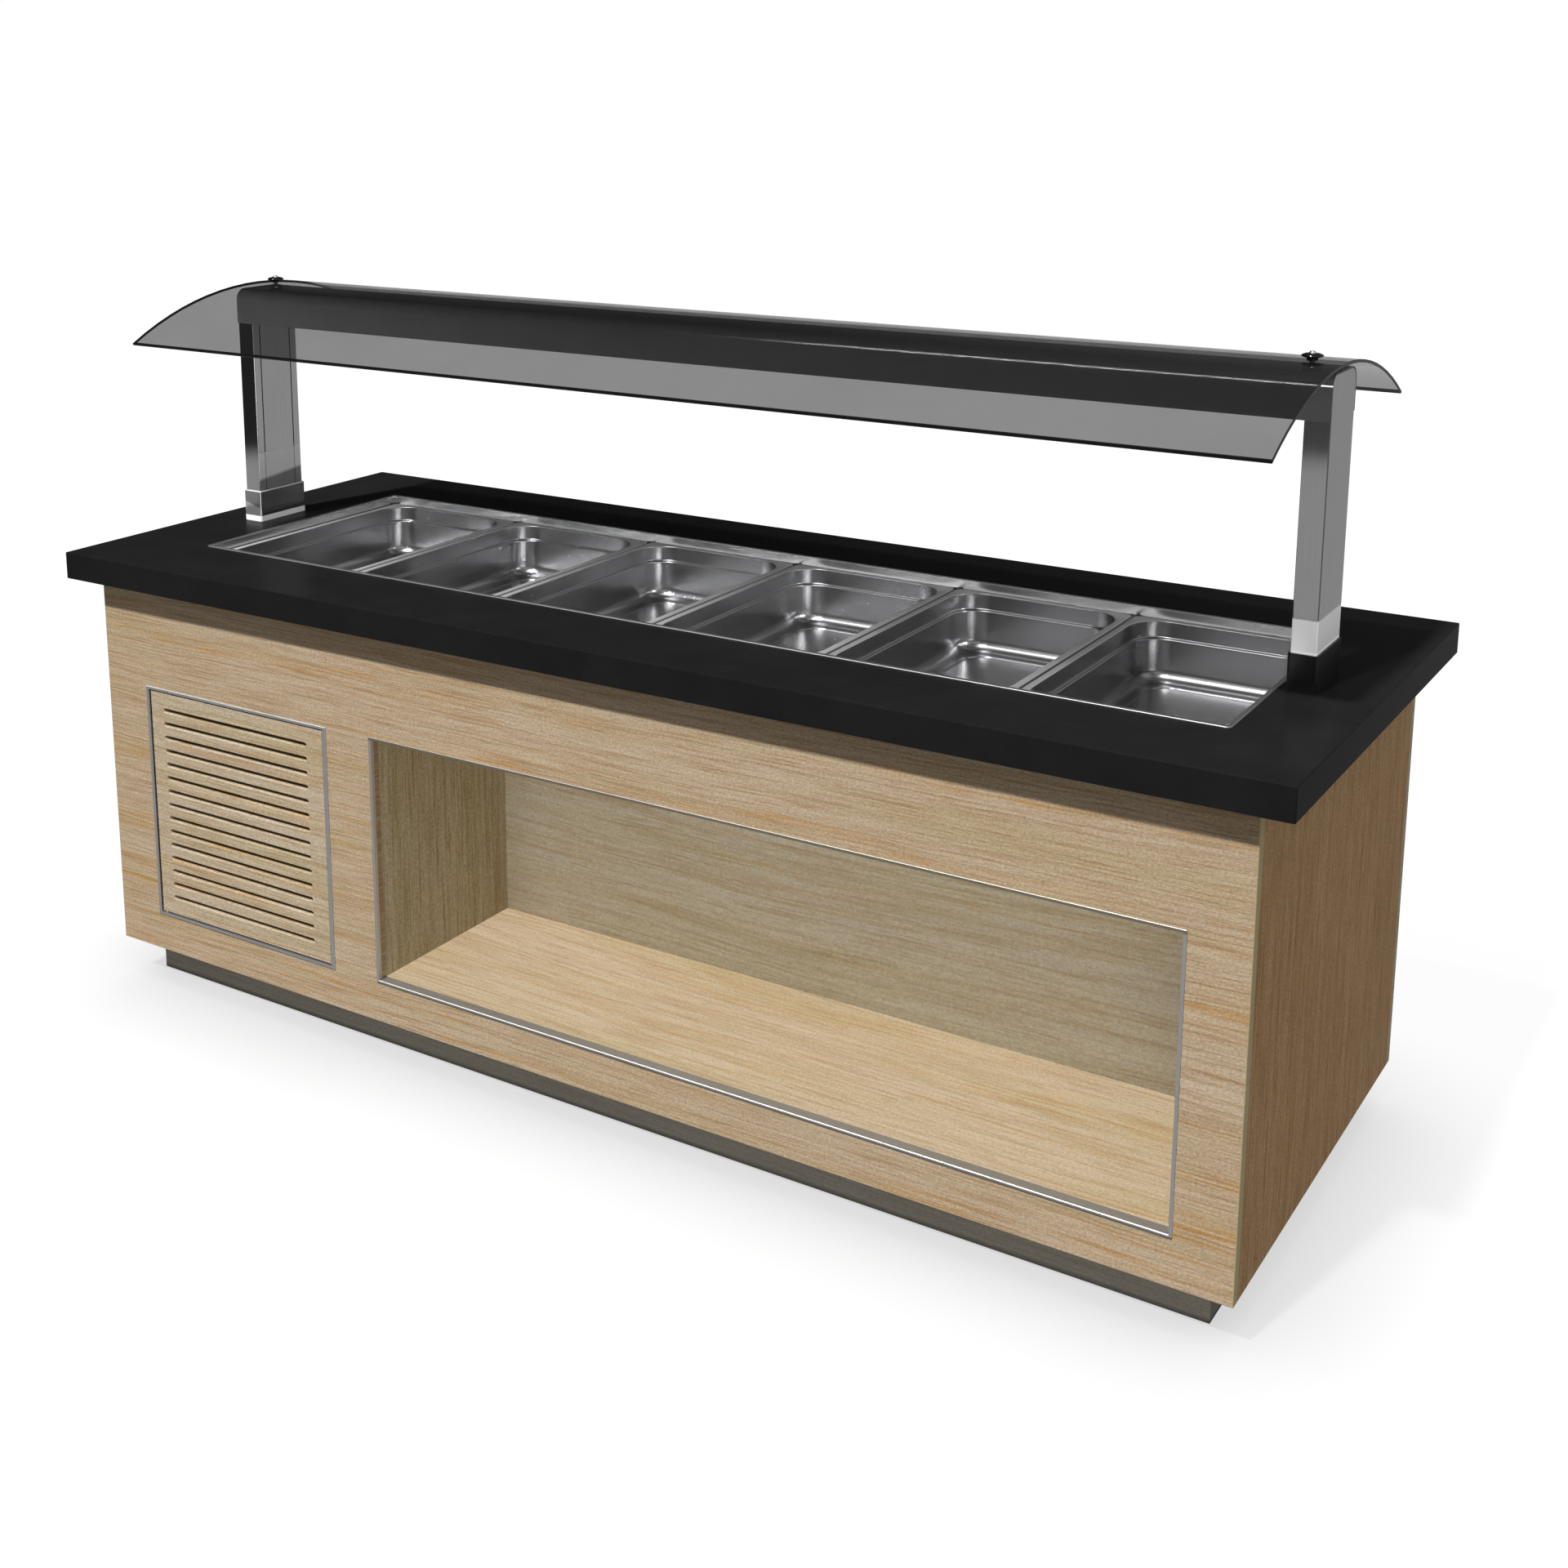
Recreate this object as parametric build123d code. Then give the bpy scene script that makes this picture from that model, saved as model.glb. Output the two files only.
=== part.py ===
from build123d import *
import math
import os

# Refrigerated salad bar: wooden carcase on a plinth, black stone counter with a
# steel well for six full-size food pans, and a curved smoked guard on two posts.
# Millimetres, +Z up, origin on the floor under the middle of the counter,
# the open niche and the grille door face -Y.

# ---- driving dimensions -------------------------------------------------
# counter
COUNTER_L, COUNTER_D = 2330.0, 900.0
COUNTER_TOP = 857.0
COUNTER_EDGE = 51.0          # height of the visible edge
SLAB_T = 20.0                # stone thickness away from the edge
APRON_T = 20.0               # stone thickness of the turned-down edge
# carcase
BOARD = 18.0
CAB_X = 1110.0               # half length
CAB_FRONT, CAB_BACK = -411.0, 425.0
CAB_Z0 = 74.5                # underside, top of the plinth
CAB_Z1 = COUNTER_TOP - COUNTER_EDGE
# plinth
PLINTH_X = 1062.0
PLINTH_FRONT, PLINTH_BACK = -354.0, 368.0
# niche (clear opening)
NICHE_X0, NICHE_X1 = -441.5, 1014.5
NICHE_Z0, NICHE_Z1 = 155.5, 606.5
NICHE_BACK = -39.0
TRIM_FACE, TRIM_PROUD, TRIM_T, TRIM_DEPTH = 5.5, 2.0, 2.0, 6.0
# grille door
GR_X0, GR_X1, GR_Z0, GR_Z1 = -1000.0, -554.0, 152.0, 606.0     # hole in the front panel
GR_FLANGE = 6.0
GR_LINING = 1.5
DOOR_X0, DOOR_X1, DOOR_Z0, DOOR_Z1 = -996.0, -558.0, 156.0, 602.0
DOOR_T = 16.0
SLOT_N, SLOT_PITCH, SLOT_H = 15, 26.9, 7.0
SLOT_X0, SLOT_X1, SLOT_TOP_Z = -962.0, -598.0, 567.5
PIVOT_X, PIVOT_Y, PIVOT_R = -990.0, -406.0, 2.5
# well and pans
WELL_X0, WELL_X1, WELL_Y = -968.0, 1016.0, 268.0   # hole in the counter
SHEET = 1.5
PAN_L, PAN_W, PAN_DEPTH = 530.0, 325.0, 100.0
PAN_PITCH = 329.5
PAN_RIM_Z = COUNTER_TOP - 15.0
PAN_RIM_H = 5.0
PAN_CORNER, PAN_FOOT_R = 54.0, 20.0                # upright corners of the mouth, foot of the walls
LEDGE = 10.0
FLANGE_T = 1.5                                     # lip that lies on the stone
TANK_Z = 668.0
TANK_R, TANK_FOOT_R = 16.0, 10.0                   # upright corners, foot of the walls
# superstructure
POST_X, POST_W, POST_D = 1055.0, 38.0, 120.0
POST_TOP = 1324.0
POST_WALL = 2.0
POST_R = 20.0
BEAM_Z0 = 1258.0
BEAM_T = 2.0
COLLAR_H = 62.0              # bright collar at the foot of the left post
SHOE_H = 58.0                # black cover at the foot of the right post
GUARD_X, GUARD_Y, GUARD_TOP, GUARD_T, GUARD_R = 1075.0, 335.0, 1336.0, 5.0, 690.0
SCREW_X = 1026.0
KNOB_D = 32.0
# machine compartment
FAN_X, FAN_Z, FAN_D = -790.0, 280.0, 240.0
COMP_X, COMP_Y = -770.0, 60.0
DRAIN_X, DRAIN_Y = -505.0, 150.0
PIPE_R = 5.0
# rear control panel
CTRL_X, CTRL_Z = -700.0, 690.0

os.makedirs("parts", exist_ok=True)


# ---- helpers --------------------------------------------------------------
def block(x0, x1, y0, y1, z0, z1):
    return Pos((x0 + x1) / 2, (y0 + y1) / 2, (z0 + z1) / 2) * Box(x1 - x0, y1 - y0, z1 - z0)


def rod(x, y, z0, z1, r):
    return Pos(x, y, (z0 + z1) / 2) * Cylinder(r, z1 - z0)


def rod_y(x, z, y0, y1, r):
    return Pos(x, (y0 + y1) / 2, z) * Rot(90, 0, 0) * Cylinder(r, y1 - y0)


def rod_x(y, z, x0, x1, r):
    return Pos((x0 + x1) / 2, y, z) * Rot(0, 90, 0) * Cylinder(r, x1 - x0)


def rounded(x0, x1, y0, y1, z0, z1, r):
    sk = Pos((x0 + x1) / 2, (y0 + y1) / 2, z0) * RectangleRounded(x1 - x0, y1 - y0, r)
    return extrude(sk, amount=z1 - z0)


def tube(points, r, bend):
    path = FilletPolyline(*points, radius=bend)
    start = Vector(*points[0])
    way = (Vector(*points[1]) - start).normalized()
    sec = Plane(origin=start, z_dir=way) * Circle(r)
    return sweep(sec, path=path)


def turned(profile, x, y, z=0.0):
    """Solid of revolution about a vertical axis from (radius, height) points."""
    face = make_face(Plane.XZ * Polyline(*profile, close=True))
    return Pos(x, y, z) * revolve(face, axis=Axis.Z, revolution_arc=360)


def save(name, shape):
    solids = shape.solids() if hasattr(shape, "solids") else [s for p in shape for s in p.solids()]
    out = solids[0] if len(solids) == 1 else Compound(children=list(solids))
    export_step(out, f"parts/{name}.step")


def at_z(shape, z, tol=0.01):
    return [e for e in shape.edges() if abs(e.bounding_box().min.Z - z) < tol and abs(e.bounding_box().max.Z - z) < tol]


def at_y(shape, y, tol=0.01):
    return [e for e in shape.edges() if abs(e.bounding_box().min.Y - y) < tol and abs(e.bounding_box().max.Y - y) < tol]


def at_x(shape, x, tol=0.01):
    return [e for e in shape.edges() if abs(e.bounding_box().min.X - x) < tol and abs(e.bounding_box().max.X - x) < tol]


# ---- plinth ---------------------------------------------------------------
plinth = [
    block(-PLINTH_X, PLINTH_X, PLINTH_FRONT, PLINTH_FRONT + BOARD, 0, CAB_Z0),
    block(-PLINTH_X, PLINTH_X, PLINTH_BACK - BOARD, PLINTH_BACK, 0, CAB_Z0),
]
plinth += [
    block(sx * PLINTH_X - (BOARD if sx > 0 else 0), sx * PLINTH_X + (0 if sx > 0 else BOARD),
          PLINTH_FRONT + BOARD, PLINTH_BACK - BOARD, 0, CAB_Z0)
    for sx in (-1, 1)
]
save("plinth_boards", plinth)

# ---- carcase --------------------------------------------------------------
IN_F, IN_B = CAB_FRONT + BOARD, CAB_BACK - BOARD
IN_X = CAB_X - BOARD
save("base_panel", block(-IN_X, IN_X, IN_F, IN_B, CAB_Z0, CAB_Z0 + BOARD))
save("left_end_panel", block(-CAB_X, -IN_X, IN_F, IN_B, CAB_Z0, CAB_Z1))
save("right_end_panel", block(IN_X, CAB_X, IN_F, IN_B, CAB_Z0, CAB_Z1))

front = block(-CAB_X, CAB_X, CAB_FRONT, IN_F, CAB_Z0, CAB_Z1)
front -= block(GR_X0, GR_X1, CAB_FRONT - 1, IN_F + 1, GR_Z0, GR_Z1)
front -= block(NICHE_X0, NICHE_X1, CAB_FRONT - 1, IN_F + 1, NICHE_Z0 - TRIM_T, NICHE_Z1)
front -= block(NICHE_X0 - TRIM_T, NICHE_X1 + TRIM_T, CAB_FRONT - 1, CAB_FRONT + TRIM_DEPTH, NICHE_Z0 - TRIM_T, NICHE_Z1 + TRIM_T)
# pivot sockets above and below the grille door
front -= rod(PIVOT_X, PIVOT_Y, GR_Z1 - 1, GR_Z1 + 10, PIVOT_R + 0.1)
front -= rod(PIVOT_X, PIVOT_Y, GR_Z0 - 10, GR_Z0 + 1, PIVOT_R + 0.1)
outer = [e for e in at_y(front, CAB_FRONT)
         if e.length > 700 and (abs(abs(e.center().X) - CAB_X) < 0.1 or abs(e.center().Z - CAB_Z0) < 0.1)]
front = chamfer(outer, 1.0)
save("front_panel", front)

# rear: a fixed panel and a screwed service panel behind the machine compartment
SERVICE_X1 = -446.0
rear = block(SERVICE_X1 + 2, CAB_X, IN_B, CAB_BACK, CAB_Z0, CAB_Z1)
save("rear_panel", rear)
service = block(-CAB_X, SERVICE_X1, IN_B, CAB_BACK, CAB_Z0, CAB_Z1)
RV_X, RV_N, RV_Z = -790.0, 11, 480.0
for i in range(RV_N):
    sk = Plane.XZ.offset(-CAB_BACK - 1) * Pos(RV_X, RV_Z - i * SLOT_PITCH) * SlotOverall(SLOT_X1 - SLOT_X0, SLOT_H)
    service -= extrude(sk, amount=BOARD + 2)
service -= block(CTRL_X - 80, CTRL_X + 80, IN_B - 1, CAB_BACK + 1, CTRL_Z - 35, CTRL_Z + 35)
GLAND_X, GLAND_Z = -1040.0, 140.0
service -= rod_y(GLAND_X, GLAND_Z, IN_B - 1, CAB_BACK + 1, 10.2)
SCREWS = [(x, z) for x in (-1085.0, -778.0, -470.0) for z in (100.0, 785.0)] + [(-1085.0, 440.0), (-470.0, 440.0)]
for x, z in SCREWS:
    service -= rod_y(x, z, IN_B - 1, CAB_BACK + 1, 2.6)
save("rear_service_panel", service)
heads = []
for x, z in SCREWS:
    cap = Pos(x, CAB_BACK, z) * Rot(-90, 0, 0) * revolve(
        make_face(Plane.XZ * Polyline((0, -BOARD + 2), (2.2, -BOARD + 2), (2.2, 0), (7.0, 0), (7.0, 0.8), (5.0, 2.6), (0, 3.0), close=True)),
        axis=Axis.Z)
    cap -= Pos(x, CAB_BACK + 2.4, z) * Box(6.0, 2.0, 1.1)
    cap -= Pos(x, CAB_BACK + 2.4, z) * Box(1.1, 2.0, 6.0)
    heads.append(cap)
save("service_panel_screws", heads)

# niche boards
save("niche_side_walls", [block(x, x + BOARD, IN_F, NICHE_BACK, CAB_Z0 + BOARD, NICHE_Z1 + BOARD) for x in (NICHE_X0 - BOARD, NICHE_X1)])
save("niche_back_wall", block(NICHE_X0 - BOARD, NICHE_X1 + BOARD, NICHE_BACK, NICHE_BACK + BOARD, CAB_Z0 + BOARD, NICHE_Z1 + BOARD))
save("niche_floor", block(NICHE_X0, NICHE_X1, IN_F, NICHE_BACK, NICHE_Z0 - BOARD, NICHE_Z0))
save("niche_ceiling", block(NICHE_X0, NICHE_X1, IN_F, NICHE_BACK, NICHE_Z1, NICHE_Z1 + BOARD))

# aluminium edge trims: a face flange proud of the panel and a lining in the hole,
# which runs the full depth of the panel as a sill at the foot of the niche
trim = block(NICHE_X0 - TRIM_FACE, NICHE_X1 + TRIM_FACE, CAB_FRONT - TRIM_PROUD, CAB_FRONT, NICHE_Z0 - TRIM_FACE, NICHE_Z1 + TRIM_FACE)
trim = chamfer([e for e in at_y(trim, CAB_FRONT - TRIM_PROUD)], 0.8)
trim += block(NICHE_X0 - TRIM_T, NICHE_X1 + TRIM_T, CAB_FRONT - 0.5, CAB_FRONT + TRIM_DEPTH, NICHE_Z0 - TRIM_T, NICHE_Z1 + TRIM_T)
trim += block(NICHE_X0, NICHE_X1, CAB_FRONT, IN_F, NICHE_Z0 - TRIM_T, NICHE_Z0)
trim -= block(NICHE_X0, NICHE_X1, CAB_FRONT - 5, IN_F + 1, NICHE_Z0, NICHE_Z1)
inner = [e for e in at_y(trim, CAB_FRONT - TRIM_PROUD) if NICHE_X0 - 1 < e.bounding_box().min.X and e.bounding_box().max.X < NICHE_X1 + 1
         and e.bounding_box().min.Z > NICHE_Z0 - 1 and e.bounding_box().max.Z < NICHE_Z1 + 1]
trim = chamfer(inner, 0.8)
save("niche_trim", trim)

gtrim = block(GR_X0 - GR_FLANGE, GR_X1 + GR_FLANGE, CAB_FRONT - TRIM_PROUD, CAB_FRONT, GR_Z0 - GR_FLANGE + 2, GR_Z1 + GR_FLANGE - 2)
gtrim = chamfer([e for e in at_y(gtrim, CAB_FRONT - TRIM_PROUD)], 0.8)
gtrim += block(GR_X0, GR_X1, CAB_FRONT - 0.5, CAB_FRONT + 26, GR_Z0, GR_Z1)
gtrim -= block(GR_X0 + GR_LINING, GR_X1 - GR_LINING, CAB_FRONT - 5, CAB_FRONT + 30, GR_Z0 + GR_LINING, GR_Z1 - GR_LINING)
gtrim -= rod(PIVOT_X, PIVOT_Y, GR_Z1 - 5, GR_Z1 + 5, PIVOT_R + 0.08)
gtrim -= rod(PIVOT_X, PIVOT_Y, GR_Z0 - 5, GR_Z0 + 5, PIVOT_R + 0.08)
save("grille_trim", gtrim)

# ---- grille door ------------------------------------------------------------
door = block(DOOR_X0, DOOR_X1, CAB_FRONT, CAB_FRONT + DOOR_T, DOOR_Z0, DOOR_Z1)
door = chamfer(at_y(door, CAB_FRONT), 1.0)
cuts = []
for i in range(SLOT_N):
    sk = Plane.XZ.offset(-CAB_FRONT + 1) * Pos((SLOT_X0 + SLOT_X1) / 2, SLOT_TOP_Z - i * SLOT_PITCH) * SlotOverall(SLOT_X1 - SLOT_X0, SLOT_H)
    cuts.append(extrude(sk, amount=-(DOOR_T + 2)))
door -= cuts
slot_edges = [e for e in at_y(door, CAB_FRONT)
              if SLOT_X0 - 1 < e.bounding_box().min.X and e.bounding_box().max.X < SLOT_X1 + 1 and abs(e.center().Z - DOOR_Z0) > 5 and abs(e.center().Z - DOOR_Z1) > 5]
door = chamfer(slot_edges, 1.6)
door -= rod(PIVOT_X, PIVOT_Y, DOOR_Z1 - 20, DOOR_Z1 + 1, PIVOT_R)
door -= rod(PIVOT_X, PIVOT_Y, DOOR_Z0 - 1, DOOR_Z0 + 20, PIVOT_R)
save("grille_door", door)
save("door_pivot_pins", [rod(PIVOT_X, PIVOT_Y, DOOR_Z1 - 20, GR_Z1 + 9, PIVOT_R), rod(PIVOT_X, PIVOT_Y, GR_Z0 - 9, DOOR_Z0 + 20, PIVOT_R)])
# magnetic catch on the lining, keeper plate on the back of the door
catch = block(-572, GR_X1 - GR_LINING, -393.6, -385.5, 350, 400)
catch = fillet(catch.edges().filter_by(Axis.Z).group_by(Axis.X)[0], 1.5)
save("door_magnet", catch)
save("door_keeper_plate", block(-590, -563, CAB_FRONT + DOOR_T, CAB_FRONT + DOOR_T + 1.0, 353, 397))

# ---- counter ----------------------------------------------------------------
hx, hy = COUNTER_L / 2, COUNTER_D / 2
FAR = 1500.0                                     # beyond every outer face
SLAB_Z = COUNTER_TOP - SLAB_T
top = block(-hx, hx, -hy, hy, CAB_Z1, COUNTER_TOP)
top = fillet(top.edges().filter_by(Axis.Z), 2.0)
top = fillet(at_z(top, COUNTER_TOP), 1.8)
top = chamfer(at_z(top, CAB_Z1), 1.0)
top -= block(-hx + APRON_T, hx - APRON_T, -hy + APRON_T, hy - APRON_T, CAB_Z1 - 1, SLAB_Z)
top -= block(WELL_X0, WELL_X1, -WELL_Y, WELL_Y, CAB_Z1, COUNTER_TOP + 5)
BOLTS = [(sx * POST_X, sy * 35.0) for sx in (-1, 1) for sy in (-1, 1)]
for x, y in BOLTS:
    top -= rod(x, y, CAB_Z1, COUNTER_TOP + 5, 5.5)
# the stone is bonded from four strips round the well and four edge strips below them
STRIPS = [
    (-FAR, FAR, -FAR, -WELL_Y, SLAB_Z, FAR), (-FAR, FAR, WELL_Y, FAR, SLAB_Z, FAR),
    (-FAR, WELL_X0, -WELL_Y, WELL_Y, SLAB_Z, FAR), (WELL_X1, FAR, -WELL_Y, WELL_Y, SLAB_Z, FAR),
    (-FAR, FAR, -FAR, -hy + APRON_T, 0, SLAB_Z), (-FAR, FAR, hy - APRON_T, FAR, 0, SLAB_Z),
    (-FAR, 0, -hy + APRON_T, hy - APRON_T, 0, SLAB_Z), (0, FAR, -hy + APRON_T, hy - APRON_T, 0, SLAB_Z),
]
save("countertop", [top & block(*b) for b in STRIPS])

sub = block(-hx + APRON_T, hx - APRON_T, -hy + APRON_T, hy - APRON_T, CAB_Z1, COUNTER_TOP - SLAB_T)
sub -= block(WELL_X0, WELL_X1, -WELL_Y, WELL_Y, CAB_Z1 - 1, COUNTER_TOP)
for x, y in BOLTS:
    sub -= rod(x, y, CAB_Z1 - 1, COUNTER_TOP, 5.5)
save("counter_substrate", sub)

# ---- well -------------------------------------------------------------------
c = 1.0                                          # clearance to the stone
ux0, ux1, uy = WELL_X0 + c, WELL_X1 - c, WELL_Y - c
LEDGE_Z = PAN_RIM_Z - PAN_RIM_H
lx0, lx1, ly = ux0 + SHEET + LEDGE, ux1 - SHEET - LEDGE, uy - SHEET - LEDGE
tank = rounded(ux0 - 6, ux1 + 6, -uy - 6, uy + 6, COUNTER_TOP, COUNTER_TOP + FLANGE_T, 8.0)
tank = fillet(at_z(tank, COUNTER_TOP + FLANGE_T), FLANGE_T - 0.3)
tank += block(ux0, ux1, -uy, uy, LEDGE_Z - SHEET, COUNTER_TOP + 0.5)
tank += rounded(lx0 - SHEET, lx1 + SHEET, -ly - SHEET, ly + SHEET, TANK_Z - SHEET, LEDGE_Z, TANK_R + SHEET)
tank -= block(ux0 + SHEET, ux1 - SHEET, -uy + SHEET, uy - SHEET, LEDGE_Z, COUNTER_TOP + 5)
cav = rounded(lx0, lx1, -ly, ly, TANK_Z, LEDGE_Z + 1, TANK_R)
cav = fillet(at_z(cav, TANK_Z), TANK_FOOT_R)
tank -= cav
tank -= rod(DRAIN_X, DRAIN_Y, TANK_Z - 5, TANK_Z + 5, 17.0)
# the tank is welded from folded sheets: four round the mouth, then walls and
# corners with the ledge turned on them, then the floor
foot_z = TANK_Z + TANK_FOOT_R
sheets = [tank & block(*b) for b in (
    (-FAR, FAR, -FAR, -uy + SHEET, LEDGE_Z, FAR), (-FAR, FAR, uy - SHEET, FAR, LEDGE_Z, FAR),
    (-FAR, ux0 + SHEET, -uy + SHEET, uy - SHEET, LEDGE_Z, FAR), (ux1 - SHEET, FAR, -uy + SHEET, uy - SHEET, LEDGE_Z, FAR),
    (-FAR, FAR, -FAR, FAR, 0, foot_z))]
for a in ((-FAR, lx0 + TANK_R), (lx0 + TANK_R, lx1 - TANK_R), (lx1 - TANK_R, FAR)):
    for b in ((-FAR, -ly + TANK_R), (-ly + TANK_R, ly - TANK_R), (ly - TANK_R, FAR)):
        if a[0] > -FAR and a[1] < FAR and b[0] > -FAR and b[1] < FAR:
            continue
        sheets.append(tank & block(*a, *b, foot_z, LEDGE_Z))
save("well_tank", sheets)

INS_X0, INS_X1, INS_Y, INS_Z0 = lx0 - SHEET - 32, lx1 + SHEET + 32, ly + SHEET + 40, NICHE_Z1 + BOARD
COIL_Z = TANK_Z - SHEET - PIPE_R - 0.3
foam = block(INS_X0, INS_X1, -INS_Y, INS_Y, INS_Z0, CAB_Z1)
foam += rounded(ux0 - 0.5, ux1 + 0.5, -uy - 0.5, uy + 0.5, CAB_Z1 - 5, LEDGE_Z - SHEET - 0.1, 5.0)
foam -= rounded(lx0 - SHEET, lx1 + SHEET, -ly - SHEET, ly + SHEET, COIL_Z - PIPE_R - 1.0, CAB_Z1 + 100, 16.0 + SHEET)
COIL_Y = 225.0
for y in (-COIL_Y, COIL_Y):
    foam -= rod_x(y, COIL_Z, INS_X0 - 5, lx0 + 5, PIPE_R + 0.6)
foam -= rod(DRAIN_X, DRAIN_Y, INS_Z0 - 5, TANK_Z, 17.0)
save("tank_insulation", foam)

# evaporator coil under the tank floor
COIL_L, COIL_R_X = -920.0, 970.0
COIL_OUT = INS_X0 - 12.0
pts = []
runs = 10
for i in range(runs):
    y = -COIL_Y + i * 2 * COIL_Y / (runs - 1)
    a, b = (COIL_L, COIL_R_X) if i % 2 == 0 else (COIL_R_X, COIL_L)
    if i == 0:
        a = COIL_OUT
    if i == runs - 1:
        b = COIL_OUT
    pts += [(a, y, COIL_Z), (b, y, COIL_Z)]
save("evaporator_coil", tube(pts, PIPE_R, 22.0))

# support bars between the pans: a flange under the two rims and a fin in the gap
pan_x = [(WELL_X0 + WELL_X1) / 2 + (i - 2.5) * PAN_PITCH for i in range(6)]
bars = []
for i in range(5):
    xm = (pan_x[i] + pan_x[i + 1]) / 2
    bar = block(xm - 9, xm + 9, -ly, ly, LEDGE_Z - 1.5, LEDGE_Z) + block(xm - 1.2, xm + 1.2, -ly, ly, LEDGE_Z - 14, LEDGE_Z + 3.5)
    bars.append(bar)
save("pan_support_bars", bars)

# food pans: rolled rim, upper wall, stacking shoulder, tapered lower wall
T = 1.0


def pan_form(grow, z_top, z_bottom):
    """Cavity form (grow 0) or outer form (grow T) of a pan, centred on x = y = 0."""
    zs = PAN_RIM_Z - 28.0 - grow          # level of the stacking shoulder
    up = extrude(Pos(0, 0, z_top) * RectangleRounded(300 + 2 * grow, 505 + 2 * grow, PAN_CORNER + grow), amount=z_top - zs, dir=(0, 0, -1), taper=2.0)
    low = extrude(Pos(0, 0, zs + 2) * RectangleRounded(284 + 2 * grow, 489 + 2 * grow, PAN_CORNER - 6 + grow), amount=zs + 2 - z_bottom, dir=(0, 0, -1), taper=2.5)
    low = fillet(at_z(low, z_bottom), PAN_FOOT_R + grow)
    form = up + low
    step = [e for e in form.edges() if abs(e.bounding_box().min.Z - zs) < 0.01 and abs(e.bounding_box().max.Z - zs) < 0.01]
    form = fillet(step, 2.2)
    return form


rim = rounded(-PAN_W / 2, PAN_W / 2, -PAN_L / 2, PAN_L / 2, PAN_RIM_Z - PAN_RIM_H, PAN_RIM_Z, 14.0)
rim = fillet(at_z(rim, PAN_RIM_Z), 2.4)
rim -= rounded(-PAN_W / 2 + 1.2, PAN_W / 2 - 1.2, -PAN_L / 2 + 1.2, PAN_L / 2 - 1.2, PAN_RIM_Z - PAN_RIM_H - 1, PAN_RIM_Z - 2.4, 12.8)
pan = rim + pan_form(T, PAN_RIM_Z - 1.0, PAN_RIM_Z - PAN_DEPTH)
pan -= pan_form(0.0, PAN_RIM_Z + 0.0, PAN_RIM_Z - PAN_DEPTH + T)
mouth = [e for e in at_z(pan, PAN_RIM_Z) if abs(e.center().X) < 152 and abs(e.center().Y) < 255]
pan = fillet(mouth, 1.6)
# shallow sunk field in the pan floor
pan += extrude(Pos(0, 0, PAN_RIM_Z - PAN_DEPTH) * RectangleRounded(215, 420, 36), amount=1.4, dir=(0, 0, -1), taper=30)
pan -= extrude(Pos(0, 0, PAN_RIM_Z - PAN_DEPTH + T) * RectangleRounded(214, 419, 35), amount=1.4, dir=(0, 0, -1), taper=30)
for i, x in enumerate(pan_x):
    save(f"gn_pan_{i + 1}", Pos(x, 0, 0) * pan)

# ---- drain ------------------------------------------------------------------
DRAIN_Z = 200.0
flange = rod(DRAIN_X, DRAIN_Y, TANK_Z, TANK_Z + 2.5, 30.0)
flange = chamfer(at_z(flange, TANK_Z + 2.5), 1.0)
V_Y0, V_Y1 = -60.0, -120.0                       # valve body along the run
drain = tube([(DRAIN_X, DRAIN_Y, TANK_Z), (DRAIN_X, DRAIN_Y, DRAIN_Z), (DRAIN_X, V_Y0, DRAIN_Z)], 16.0, 45.0)
drain = flange + drain
drain -= tube([(DRAIN_X, DRAIN_Y, TANK_Z + 4), (DRAIN_X, DRAIN_Y, DRAIN_Z), (DRAIN_X, V_Y0 - 1, DRAIN_Z)], 13.0, 45.0)
for k in range(6):
    a = math.radians(60 * k)
    drain -= rod(DRAIN_X + 21 * math.cos(a), DRAIN_Y + 21 * math.sin(a), TANK_Z + 1.0, TANK_Z + 5, 2.0)
save("drain_pipe", drain)
hexa = Plane.XZ.offset(-V_Y0) * Pos(DRAIN_X, DRAIN_Z) * RegularPolygon(23, 6)
valve = extrude(hexa, amount=V_Y0 - V_Y1)
valve = chamfer(at_y(valve, V_Y0) + at_y(valve, V_Y1), 3.0)
valve += rod_y(DRAIN_X, DRAIN_Z, V_Y1 - 30, V_Y1, 15.0)
valve -= rod_y(DRAIN_X, DRAIN_Z, V_Y1 - 31, V_Y0 + 1, 11.0)
V_Y = (V_Y0 + V_Y1) / 2
valve += rod_x(V_Y, DRAIN_Z, DRAIN_X - 34, DRAIN_X - 17, 11.0) - rod_y(DRAIN_X, DRAIN_Z, V_Y1 - 31, V_Y0 + 1, 11.0)
valve -= rod_x(V_Y, DRAIN_Z, DRAIN_X - 36, DRAIN_X - 16, 4.1)
save("drain_valve", valve)
lever = rod_x(V_Y, DRAIN_Z, DRAIN_X - 42, DRAIN_X - 16.5, 4.0)
lever += rod_x(V_Y, DRAIN_Z, DRAIN_X - 42, DRAIN_X - 34.5, 10.0)
arm = block(DRAIN_X - 40, DRAIN_X - 36, V_Y - 8, V_Y + 8, DRAIN_Z - 85, DRAIN_Z)
arm = fillet(arm.edges().filter_by(Axis.X).group_by(Axis.Z)[0], 7.5)
lever += arm
save("drain_valve_lever", lever)

# ---- posts, beam and guard ----------------------------------------------------
def post_section(dy, z0, z1, r):
    sk = Pos(0, (z0 + z1) / 2) * Rectangle(2 * dy, z1 - z0)
    return fillet(sk.vertices().group_by(Axis.Y)[-1], r)


def across(sk, x0, x1):
    return extrude(Plane.YZ.offset(x0) * sk, amount=x1 - x0)


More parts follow.
